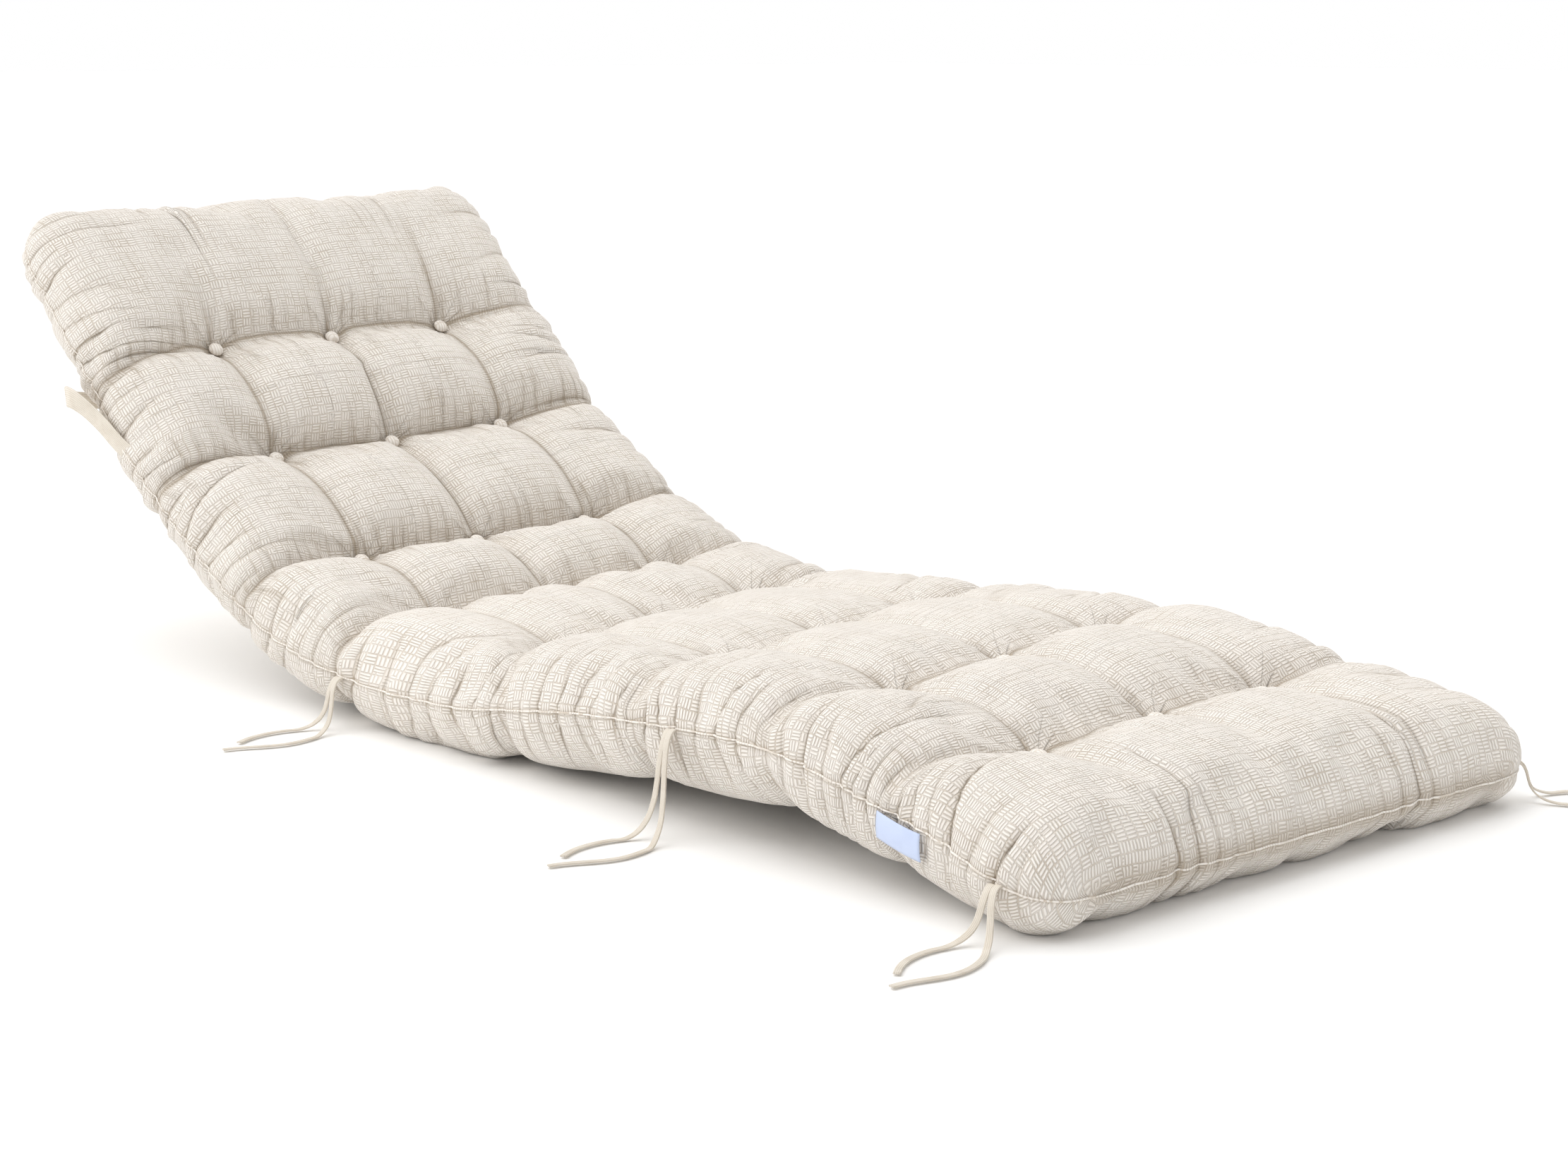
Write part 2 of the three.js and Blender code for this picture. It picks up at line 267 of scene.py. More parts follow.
@dataclass(frozen=True)
class PadForm:
    """The rule that the pad's skin follows, in millimetres, with rows counted from the head seam."""

    rows: tuple = (
        Row(723, 450, 8),
        Row(567, 298, 5, left=30, tuck=8),
        Row(452, 193, 8, left=26, right=6, tuck=11),
        Row(297, 101, 10, left=24, tuck=13),
        Row(165, 55, 20, left=34, right=20, seam=4, tuck=13),
        Row(-20, 44, 76, left=50, right=38, seam=9, lift=6, tuck=6),
        Row(-260, 67, 68, left=12, right=8, seam=14, drop=6, lift=10, tuck=4),
        Row(-474, 81, 50, left=-16, right=8, seam=14, drop=16, lift=10, tuck=4),
        Row(-640, 62, 20, left=-20, right=18, seam=12, drop=15, lift=8, tuck=6),
        Row(-809, 32, -6),
    )
    head_half: float = 300.0
    foot_half: float = 312.0
    rim: float = 70.0
    corner: float = 2.5
    draw_in: float = 3.0
    end_panel: float = 180.0
    side_fullness: float = 5.0
    column_fullness: float = 3.6
    row_curve: float = 0.035
    side_lift: float = 20.0
    side_tuck: float = 0.3
    tuck_reach: float = 20.0
    column_fade: tuple = (0.1, 0.75, 0.75)
    shift: float = 38.837

    @property
    def panels(self) -> int:
        """How many panels the pad has along its length."""
        return len(self.rows) - 1

    def value(self, place: np.ndarray, name: str) -> np.ndarray:
        """Reads one column of the rows' table at any place along the pad.

        Args:
            place: Along the pad, where rows lie at whole numbers.
            name: The column's name.

        Returns:
            One number for each place.
        """
        kept = np.array([getattr(row, name) for row in self.rows], float)
        row = np.clip(np.floor(place), 0, self.panels - 1).astype(int)
        return kept[row] + (kept[row + 1] - kept[row]) * smooth(place - row)

    def length(self, place: np.ndarray) -> np.ndarray:
        """Gives the distance along the mid-line from the head seam, in metres."""
        fine = np.linspace(0, self.panels, 50 * self.panels + 1)
        return np.interp(place, fine, run_length(self.frame_at(fine)[0])) * MM

    def row_gap(self, curved: np.ndarray) -> np.ndarray:
        """Gives the signed distance to the nearest tufted row in metres."""
        return self.length(curved) - self.length(self.nearest_row(curved))

    def frame_at(self, place: np.ndarray) -> tuple:
        """Finds the mid-line's point, its direction to the head and the way out of the top.

        Args:
            place: Along the pad, where rows lie at whole numbers.

        Returns:
            Rows of (along, up) numbers: the point in millimetres and the two directions.
        """
        mid = np.array([row[:2] for row in self.rows], float)
        step = 1e-4
        origin = spline(mid, place / self.panels)
        ahead = spline(mid, np.clip(place / self.panels - step, 0, 1))
        behind = spline(mid, np.clip(place / self.panels + step, 0, 1))
        headward = ahead - behind
        headward /= np.linalg.norm(headward, axis=-1, keepdims=True)
        outward = np.stack([-headward[..., 1], headward[..., 0]], -1)
        return origin, headward, outward

    def nearest_row(self, place: np.ndarray) -> np.ndarray:
        """Gives the tufted row that lies nearest."""
        return np.clip(np.round(place), 1, self.panels - 1)

    def half(self, x: np.ndarray, place: np.ndarray) -> np.ndarray:
        """Gives the half width on the side of x, drawn in where each sewn row meets that side.

        Args:
            x: Across the pad, in millimetres.
            place: Along the pad, where rows lie at whole numbers.

        Returns:
            Half widths in millimetres.
        """
        share = smooth((place - 3) / (self.panels - 3))
        width = self.head_half + (self.foot_half - self.head_half) * share
        curved = self.row_place(x, place, 1.0, 1.0)
        gap = 2 * np.abs(curved - self.nearest_row(curved))
        return width - self.draw_in * (1 - bulge(gap, self.side_fullness))

    def across_arc(self, x: np.ndarray, place: np.ndarray) -> np.ndarray:
        """Gives the rise between the columns, which fade out across the end panels.

        Args:
            x: Across the pad, in millimetres.
            place: Along the pad, where rows lie at whole numbers.

        Returns:
            The rise, from 0 on a column to 1 midway.
        """
        columns = np.abs(x) / (self.half(x, place) / 2)
        gap = 2 * np.where(columns > 1, columns - 1, np.minimum(columns, 1 - columns))
        low, high, share = self.column_fade
        past = np.maximum(1 - place, place - self.panels + 1)
        fade = share * smooth((past - low) / (high - low))
        between = bulge(gap, self.column_fullness)
        return between + (1 - between) * fade

    def row_place(self, x: np.ndarray, place: np.ndarray, side: object, across: object) -> np.ndarray:
        """Gives the place along as the rows count it: they curve toward the head and trail at the sides.

        Args:
            x: Across the pad, of which only the side counts.
            place: Along the pad, where rows lie at whole numbers.
            side: How far past the outer column, from 0 to 1 at the side.
            across: The rise between the columns, from 0 to 1.

        Returns:
            The places.
        """
        trail = side * np.where(np.asarray(x) < 0, self.value(place, "left"), self.value(place, "right"))
        return np.clip(place + self.row_curve * across - trail / self.end_panel, 0, self.panels)

    def side_share(self, x: np.ndarray, place: np.ndarray) -> np.ndarray:
        """Gives how far a point lies past its outer column, from 0 to 1 at the side."""
        half = self.half(x, place)
        return smooth((np.abs(x) - half / 2) / (half / 2))

    def curved(self, x: np.ndarray, place: np.ndarray) -> np.ndarray:
        """Gives the place along as the rows count it."""
        return self.row_place(x, place, self.side_share(x, place), self.across_arc(x, place))

    def height(self, face: Face, x: np.ndarray, place: np.ndarray) -> np.ndarray:
        """Gives a face's height over the mid-line, before it falls away to the seam.

        Args:
            face: The face.
            x: Across the pad, in millimetres.
            place: Along the pad, where rows lie at whole numbers.

        Returns:
            Heights in millimetres.
        """
        tuft, along_row, along_column, fullness = face.value
        side = self.side_share(x, place)
        across = self.across_arc(x, place)
        curved = self.row_place(x, place, side, across)
        row = self.nearest_row(curved)
        along = bulge(2 * np.abs(curved - row), fullness + (self.side_fullness - fullness) * side)
        rise = tuft + along_column * along + along_row * across
        if face is Face.TOP:
            gap = np.linalg.norm(self.frame_at(curved)[0] - self.frame_at(row)[0], axis=-1)
            lift = self.value(curved, "lift")
            depth = self.value(row, "tuck") * (1 - (1 - self.side_tuck) * side)
            rise = rise + (lift + (self.side_lift - lift) * side) * (1 - along)
            rise = rise - depth * np.exp(-((gap / self.tuck_reach) ** 2)) * across
        return rise

    def end_gap(self, place: np.ndarray) -> np.ndarray:
        """Gives the distance along the pad to its nearer end seam."""
        return np.minimum(place, self.panels - place) * self.end_panel

    def seam(self, x: np.ndarray, place: np.ndarray) -> np.ndarray:
        """Gives the distance of the side seam from the mid-line, on the side of x.

        Args:
            x: Across the pad, in millimetres.
            place: Along the pad, where rows lie at whole numbers.

        Returns:
            Distances in millimetres.
        """
        end = np.maximum(0, 1 - self.end_gap(place) / self.rim)
        side = (1 - end**self.corner) ** (1 / self.corner)
        return self.half(x, place) - self.rim * (1 - side)

    def rim_share(self, x: np.ndarray, place: np.ndarray) -> np.ndarray:
        """Gives the share of full height at a distance from the seams.

        Args:
            x: Across the pad, in millimetres.
            place: Along the pad, where rows lie at whole numbers.

        Returns:
            Shares from 0 at a seam to 1.
        """
        end = np.maximum(0, 1 - self.end_gap(place) / self.rim)
        side = np.maximum(0, 1 - (self.half(x, place) - np.abs(x)) / self.rim)
        reach = (end**self.corner + side**self.corner) ** (1 / self.corner)
        return np.sqrt(1 - np.minimum(1, reach) ** 2)

    def point(self, x: np.ndarray, place: np.ndarray, height: np.ndarray) -> np.ndarray:
        """Places points of the pad in the frame.

        Args:
            x: Across the pad, in millimetres.
            place: Along the pad, where rows lie at whole numbers.
            height: Out of the top from the mid-line, in millimetres.

        Returns:
            Places in metres.
        """
        origin, headward, outward = self.frame_at(place)
        share = x / self.head_half
        lead = self.value(place, "lead") * share
        height = np.asarray(height) - self.value(place, "drop") * np.maximum(share, 0) ** 2
        yz = origin + headward * lead[..., None] + outward * height[..., None]
        return np.stack([x, yz[..., 0] + self.shift, yz[..., 1]], -1) * MM

    def skin(self, face: Face, x: np.ndarray, place: np.ndarray, spare: float = 0.0) -> np.ndarray:
        """Places points of one face of the pad, with some height kept spare for the filling.

        Args:
            face: The face.
            x: Across the pad, in millimetres.
            place: Along the pad, where rows lie at whole numbers.
            spare: The height kept spare, in millimetres.

        Returns:
            Places in metres.
        """
        share = self.rim_share(x, place)
        rise = share * (self.height(face, x, place) - spare)
        seam = (1 - share) * self.value(place, "seam")
        return self.point(x, place, seam + (rise if face is Face.TOP else -rise))


FORM = PadForm()


# Finishes


class Board:
    """A node tree that is being laid out, with short ways to add and link its nodes."""

    def __init__(self, tree: bpy.types.NodeTree) -> None:
        """Starts on an empty tree."""
        self.tree = tree
        tree.nodes.clear()

    def add(self, kind: str, inputs: dict | None = None, **settings: object) -> bpy.types.Node:
        """Adds a node.

        Args:
            kind: The node's type name.
            inputs: Socket name or number to a value or to another node's output.
            settings: The node's own properties.

        Returns:
            The new node.
        """
        node = self.tree.nodes.new(kind)
        for key, value in settings.items():
            setattr(node, key, value)
        for key, value in (inputs or {}).items():
            if isinstance(value, bpy.types.NodeSocket):
                self.tree.links.new(value, node.inputs[key])
            else:
                node.inputs[key].default_value = value
        return node

    def math(self, operation: str, *values: object) -> bpy.types.NodeSocket:
        """Adds a sum and returns its result."""
        node = self.add("ShaderNodeMath", dict(enumerate(values)), operation=operation)
        return node.outputs[0]

    def times(self, first: object, second: object) -> bpy.types.NodeSocket:
        """Multiplies two values."""
        return self.math("MULTIPLY", first, second)

    def plus(self, first: object, second: object) -> bpy.types.NodeSocket:
        """Adds two values."""
        return self.math("ADD", first, second)

    def minus(self, first: object, second: object) -> bpy.types.NodeSocket:
        """Takes the second value from the first."""
        return self.math("SUBTRACT", first, second)

    def split(self, vector: object) -> list:
        """Gives the three parts of a vector."""
        return list(self.add("ShaderNodeSeparateXYZ", {0: vector}).outputs)

    def kept(self, name: str) -> list:
        """Gives the three numbers that the mesh keeps under a name."""
        return self.split(self.add("ShaderNodeAttribute", attribute_name=name).outputs["Vector"])

    def scaled(self, vector: object, scale: object) -> bpy.types.NodeSocket:
        """Scales a vector by a value."""
        inputs = {0: vector, "Scale": scale}
        return self.add("ShaderNodeVectorMath", inputs, operation="SCALE").outputs[0]

    def choose(self, share: object, low: object, high: object) -> bpy.types.NodeSocket:
        """Mixes two values and returns the result."""
        return self.add("ShaderNodeMix", {0: share, 2: low, 3: high}, data_type="FLOAT").outputs[0]

    def vector(self, operation: str, *values: object) -> bpy.types.NodeSocket:
        """Adds a vector sum and returns its result."""
        node = self.add("ShaderNodeVectorMath", dict(enumerate(values)), operation=operation)
        return node.outputs[0]

    def blend(self, share: object, low: object, high: object) -> bpy.types.NodeSocket:
        """Mixes two colours and returns the result."""
        node = self.add("ShaderNodeMix", {0: share, 6: low, 7: high}, data_type="RGBA")
        return node.outputs[2]

    def between(self, value: object, low: float, high: float) -> bpy.types.NodeSocket:
        """Eases a value from 0 at one limit to 1 at the other."""
        inputs = {0: value, 1: low, 2: high}
        node = self.add("ShaderNodeMapRange", inputs, interpolation_type="SMOOTHSTEP")
        return node.outputs[0]

    def grain(self, place: object, scale: float, detail: float) -> bpy.types.NodeSocket:
        """Adds a noise pattern and returns its value."""
        inputs = {"Vector": place, "Scale": scale, "Detail": detail}
        return self.add("ShaderNodeTexNoise", inputs).outputs[0]

    def surface(self, colour: object, look: dict, height: object = None, relief: tuple = ()) -> None:
        """Ends a material with one matt surface.

        Args:
            colour: The surface's colour.
            look: The surface's other values by name.
            height: The height that bumps it, or nothing for a smooth surface.
            relief: The bump's strength and its distance in metres.
        """
        values = {"Base Color": colour, **look}
        if height is not None:
            bump = {"Strength": relief[0], "Distance": relief[1], "Height": height}
            values["Normal"] = self.add("ShaderNodeBump", bump).outputs[0]
        shader = self.add("ShaderNodeBsdfPrincipled", values)
        self.add("ShaderNodeOutputMaterial", {"Surface": shader.outputs[0]})


def new_material(name: str) -> tuple[bpy.types.Material, Board]:
    """Starts a material and gives it with its board.

    Args:
        name: The material's name.

    Returns:
        The material and its empty board.
    """
    material = bpy.data.materials.new(name)
    material.use_nodes = True
    return material, Board(material.node_tree)


def node_group(kind: str, name: str, inputs: dict, results: dict) -> tuple[bpy.types.NodeTree, Board]:
    """Starts a node group.

    Args:
        kind: The tree's type name.
        name: The group's name.
        inputs: Input name to (socket type, value), with None where it has no value of its own.
        results: Output name to socket type.

    Returns:
        The group's tree and its board.
    """
    tree = bpy.data.node_groups.new(name, kind)
    board = Board(tree)
    for key, (socket_kind, value) in inputs.items():
        socket = tree.interface.new_socket(key, in_out="INPUT", socket_type=socket_kind)
        if value is not None:
            socket.default_value = value
    for key, socket_kind in results.items():
        tree.interface.new_socket(key, in_out="OUTPUT", socket_type=socket_kind)
    return tree, board


# Weave: how the cells wander, the share of cells that are turned, and how a strand rounds off
SWAY_SCALE = 0.45
SWAY_REACH = 1.6
TURNED_CELLS = 0.22
STRAND_BODY = (0.1, 0.85)
STRAND_TIPS = (0.0, 0.38)

# Yarn: threads to the metre along and across each thread, and the size of its light and dark patches
YARN_ACROSS = (1400.0, 260.0, 600.0)
YARN_ALONG = (260.0, 1400.0, 600.0)
PATCH_SCALE = 38.0


def parquet_weave() -> bpy.types.NodeTree:
    """Builds the crosshatched weave: small cells of parallel strands, turned at random.

    Returns:
        A group that gives the weave's height and how deep in a gap a point lies.
    """
    tree, board = node_group(
        "ShaderNodeTree",
        "Parquet weave",
        {
            "Place": ("NodeSocketVector", None),
            "Cell": ("NodeSocketFloat", 0.012),
            "Strands": ("NodeSocketFloat", 3.0),
            "Wander": ("NodeSocketFloat", 0.25),
        },
        {"Height": "NodeSocketFloat", "Gap": "NodeSocketFloat"},
    )
    given = board.add("NodeGroupInput").outputs
    cells = board.scaled(given["Place"], board.math("DIVIDE", 1.0, given["Cell"]))
    sway = board.add("ShaderNodeTexNoise", {"Vector": cells, "Scale": SWAY_SCALE, "Detail": 2.0})
    centred = board.vector("SUBTRACT", sway.outputs[1], (0.5, 0.5, 0.5))
    pushed = board.scaled(centred, board.times(given["Wander"], SWAY_REACH))
    warped = board.vector("ADD", cells, pushed)
    cell = board.vector("FLOOR", warped)
    within = board.vector("FRACTION", warped)
    axes = board.split(within)
    where = board.split(cell)
    parity = board.math("PINGPONG", board.plus(where[0], where[1]), 1.0)
    lot = board.add("ShaderNodeTexWhiteNoise", {"Vector": cell}, noise_dimensions="3D").outputs[0]
    flips = board.math("LESS_THAN", lot, TURNED_CELLS)
    turn = board.math("ABSOLUTE", board.minus(parity, flips))
    lane = board.choose(turn, axes[0], axes[1])
    strand = board.math("FRACT", board.times(lane, given["Strands"]))
    ridge = board.math("SINE", board.times(strand, math.pi))
    length = board.choose(turn, axes[1], axes[0])
    ends = board.math("SINE", board.times(length, math.pi))
    height = board.times(board.between(ridge, *STRAND_BODY), board.between(ends, *STRAND_TIPS))
    board.add("NodeGroupOutput", {"Height": height, "Gap": board.minus(1.0, height)})
    return tree


def fine_yarn() -> bpy.types.NodeTree:
    """Builds the fine slub of the yarns, as height and as light and dark patches.

    Returns:
        A group that gives a height and a patch mask.
    """
    tree, board = node_group(
        "ShaderNodeTree",
        "Fine yarn",
        {"Place": ("NodeSocketVector", None), "Slub": ("NodeSocketFloat", 0.5)},
        {"Height": "NodeSocketFloat", "Patches": "NodeSocketFloat"},
    )
    given = board.add("NodeGroupInput").outputs
    warp = board.vector("MULTIPLY", given["Place"], YARN_ACROSS)
    weft = board.vector("MULTIPLY", given["Place"], YARN_ALONG)
    threads = board.plus(board.grain(warp, 1.0, 1.0), board.grain(weft, 1.0, 1.0))
    broad = board.grain(given["Place"], PATCH_SCALE, 3.0)
    height = board.times(threads, given["Slub"])
    board.add("NodeGroupOutput", {"Height": height, "Patches": broad})
    return tree


class Follows(Enum):
    """What a weave follows: the piece's own place, or the cloth as it was cut."""

    PIECE = "object"
    CLOTH = "cloth"


@dataclass(frozen=True)
class WovenFinish:
    """The pad's woven cloth, on the pad itself or on its covered buttons.

    Lines are drawn as (half width in metres, share), most of them twice, fine and broad; the shade lines are
    painted shade, which darkens the colour along the creases, the seam, the folds and the tuft rays. Folds
    are kept as a count, so each kind has a usual spacing in metres.
    """

    name: str
    follows: Follows
    light: tuple = (0.95, 0.90, 0.84, 1.0)
    dark: tuple = (0.60, 0.51, 0.405, 1.0)
    # painted shade: the dark colour that the cloth is mixed toward along creases, the seam line, folds and
    # tuft rays
    shade: tuple = (0.35, 0.26, 0.16, 1.0)
    cell: float = 0.0092
    strands: float = 3.0
    relief: float = 0.0014
    gap_dark: tuple = (0.34, 0.46)
    slub: float = 0.35
    row_shade: tuple = ((0.0055, 0.55), (0.0016, 0.75))
    column_shade: tuple = ((0.0015, 0.7), (0.0055, 0.3))
    seam_shade: tuple = ((0.0022, 0.75),)
    fold_shade: tuple = ((0.0016, 0.72), (0.006, 0.3))
    row_groove: tuple = ((0.0025, 1.0),)
    column_groove: tuple = ((0.0022, 1.0),)
    fold_groove: tuple = ((0.0016, 0.9),)
    fold_spacing: tuple = (("side_folds", 0.034), ("end_folds", 0.04), ("row_folds", 0.018))
    ray_shade: float = 0.3
    ray_groove: float = 1.1
    most_shade: float = 0.72
    lumps: tuple = (30.0, 2.2)
    groove_depth: float = 2.6
    creases: bool = True

    def line(self, board: Board, gap: object, width: float) -> bpy.types.NodeSocket:
        """Draws a soft line where a signed distance passes zero.

        Args:
            board: The material's board.
            gap: The signed distance.
            width: The line's half width, in the same unit.

        Returns:
            1 on the line, falling to 0 beside it.
        """
        share = board.math("DIVIDE", board.math("ABSOLUTE", gap), width)
        return board.math("EXPONENT", board.times(board.math("POWER", share, 1.3), -1.0))

    def lines(self, board: Board, gap: object, kinds: tuple) -> bpy.types.NodeSocket:
        """Adds up lines of several widths on the same place.

        Args:
            board: The material's board.
            gap: The signed distance.
            kinds: The half width and share of each line.

        Returns:
            The lines' sum.
        """
        drawn = [board.times(self.line(board, gap, width), share) for width, share in kinds]
        return drawn[0] if len(drawn) == 1 else board.plus(*drawn)

    def rays(self, board: Board) -> bpy.types.NodeSocket:
        """Draws the fine folds that run out from every tuft.

        Args:
            board: The material's board.

        Returns:
            1 on a ray close to its tuft, falling to 0.
        """
        dx, dy, near = board.kept("tuft")
        turn = board.math("ARCTAN2", dy, dx)
        ring = board.add("ShaderNodeCombineXYZ", {
            0: board.times(board.math("COSINE", turn), 2.6),
            1: board.times(board.math("SINE", turn), 2.6),
            2: board.times(board.plus(dx, dy), 9.0),
        }).outputs[0]
        return board.times(board.between(board.grain(ring, 1.6, 2.0), 0.5, 0.72), near)

    def sewn(self, board: Board) -> tuple[bpy.types.NodeSocket, bpy.types.NodeSocket]:
        """Draws the creases of rows, columns, folds and tufts and the seam line from what the pad's mesh
        keeps, as painted shade and as fine grooves.

        Args:
            board: The material's board.

        Returns:
            How much painted shade a point gets, and how deep in a fine groove it lies.
        """
        row, column, seam = board.kept("sewn_lines")
        row_drawn, column_drawn, _ = board.kept("sewn_depth")
        shade = board.plus(
            board.times(self.lines(board, row, self.row_shade), row_drawn),
            board.times(self.lines(board, column, self.column_shade), column_drawn))
        # painted shade: a dark line beside the seam, under its lip
        shade = board.plus(shade, self.lines(board, seam, self.seam_shade))
        groove = board.plus(
            board.times(self.lines(board, row, self.row_groove), row_drawn),
            board.times(self.lines(board, column, self.column_groove), column_drawn))
        for name, spacing in self.fold_spacing:
            count, strength, _ = board.kept(name)
            off = board.times(board.math("PINGPONG", count, 0.5), spacing)
            shade = board.plus(shade, board.times(self.lines(board, off, self.fold_shade), strength))
            groove = board.plus(groove, board.times(self.lines(board, off, self.fold_groove), strength))
        rays = self.rays(board)
        shade = board.plus(shade, board.times(rays, self.ray_shade))
        groove = board.plus(groove, board.times(rays, self.ray_groove))
        return board.math("MINIMUM", shade, 1.0), groove

    def build(self, weave: bpy.types.NodeTree, yarn: bpy.types.NodeTree) -> bpy.types.Material:
        """Makes the material.

        Args:
            weave: The parquet weave group.
            yarn: The fine yarn group.

        Returns:
            The material.
        """
        material, board = new_material(self.name)
        if self.follows is Follows.PIECE:
            place = board.add("ShaderNodeTexCoord").outputs["Object"]
        else:
            place = board.add("ShaderNodeUVMap", uv_map=self.follows.value).outputs[0]
        hatch = board.add("ShaderNodeGroup", {
            "Place": place, "Cell": self.cell, "Strands": self.strands}, node_tree=weave)
        slub = board.add("ShaderNodeGroup", {"Place": place}, node_tree=yarn)
        patches = board.between(slub.outputs["Patches"], 0.3, 0.75)
        least, more = self.gap_dark
        gaps = board.times(hatch.outputs["Gap"], board.plus(least, board.times(patches, more)))
        colour = board.blend(gaps, self.light, self.dark)
        height = board.plus(hatch.outputs["Height"], board.times(slub.outputs["Height"], self.slub))
        if self.creases:
            # painted shade: the colour is mixed toward the shade colour along creases, the seam line, folds
            # and tuft rays
            painted_shade, groove = self.sewn(board)
            colour = board.blend(board.times(painted_shade, self.most_shade), colour, self.shade)
            scale, rise = self.lumps
            height = board.plus(height, board.times(board.grain(place, scale, 3.0), rise))
            height = board.minus(height, board.times(groove, self.groove_depth))
        look = {
            "Roughness": 0.93, "Sheen Weight": 0.25, "Sheen Roughness": 0.5, "Specular IOR Level": 0.2}
        board.surface(colour, look, height, (0.75, self.relief))
        return material


@dataclass(frozen=True)
class TapeFinish:
    """Ribbed cotton tape or webbing, with its ribs along the piece's own length."""

    name: str
    ribs: float
    light: tuple = (0.83, 0.77, 0.68, 1.0)
    dark: tuple = (0.55, 0.47, 0.37, 1.0)
    picks: float = 4200.0
    wear: float = 0.3
    gap_dark: float = 0.35

    def build(self, yarn: bpy.types.NodeTree) -> bpy.types.Material:
        """Makes the material.

        Args:
            yarn: The fine yarn group.

        Returns:
            The material.
        """
        material, board = new_material(self.name)
        place = board.add("ShaderNodeUVMap", uv_map="along").outputs[0]
        axes = board.split(place)
        rib = board.math("ABSOLUTE", board.math("SINE", board.times(axes[0], self.ribs)))
        cross = board.math("SINE", board.times(axes[1], self.picks))
        slub = board.add("ShaderNodeGroup", {"Place": place}, node_tree=yarn)
        worn = board.times(board.between(slub.outputs["Patches"], 0.35, 0.7), self.wear)
        gap = board.times(board.minus(1.0, rib), self.gap_dark)
        colour = board.blend(board.plus(worn, gap), self.light, self.dark)
        look = {"Roughness": 0.88, "Sheen Weight": 0.2, "Specular IOR Level": 0.25}
        board.surface(colour, look, board.plus(rib, board.times(cross, 0.2)), (0.6, 0.0005))
        return material


@dataclass(frozen=True)
class PatchFinish:
    """The plain pale blue satin patch."""

    name: str = "blue_patch"
    light: tuple = (0.62, 0.71, 0.93, 1.0)
    dark: tuple = (0.47, 0.56, 0.80, 1.0)
    mottle: float = 0.4

    def build(self, yarn: bpy.types.NodeTree) -> bpy.types.Material:
        """Makes the material.

        Args:
            yarn: The fine yarn group.

        Returns:
            The material.
        """
        material, board = new_material(self.name)
        place = board.add("ShaderNodeUVMap", uv_map="along").outputs[0]
        slub = board.add("ShaderNodeGroup", {"Place": place}, node_tree=yarn)
        share = board.times(board.between(slub.outputs["Patches"], 0.3, 0.8), self.mottle)
        colour = board.blend(share, self.light, self.dark)
        look = {"Roughness": 0.55, "Sheen Weight": 0.15}
        board.surface(colour, look, slub.outputs["Height"], (0.3, 0.0003))
        return material


@dataclass
class Finishes:
    """Every material of the cushion."""

    pad: bpy.types.Material = field(init=False)
    button: bpy.types.Material = field(init=False)
    tape: bpy.types.Material = field(init=False)
    strap: bpy.types.Material = field(init=False)
    patch: bpy.types.Material = field(init=False)

    def __post_init__(self) -> None:
        """Builds the shared groups and the materials."""
        weave, yarn = parquet_weave(), fine_yarn()
        self.pad = WovenFinish("woven_cloth", Follows.CLOTH).build(weave, yarn)
        covered = WovenFinish("button_cloth", Follows.PIECE, relief=0.0004, creases=False)
        self.button = covered.build(weave, yarn)
        self.tape = TapeFinish("cotton_tape", ribs=2100.0).build(yarn)
        self.strap = TapeFinish("ribbed_strap", ribs=1400.0).build(yarn)
        self.patch = PatchFinish().build(yarn)


# Studio


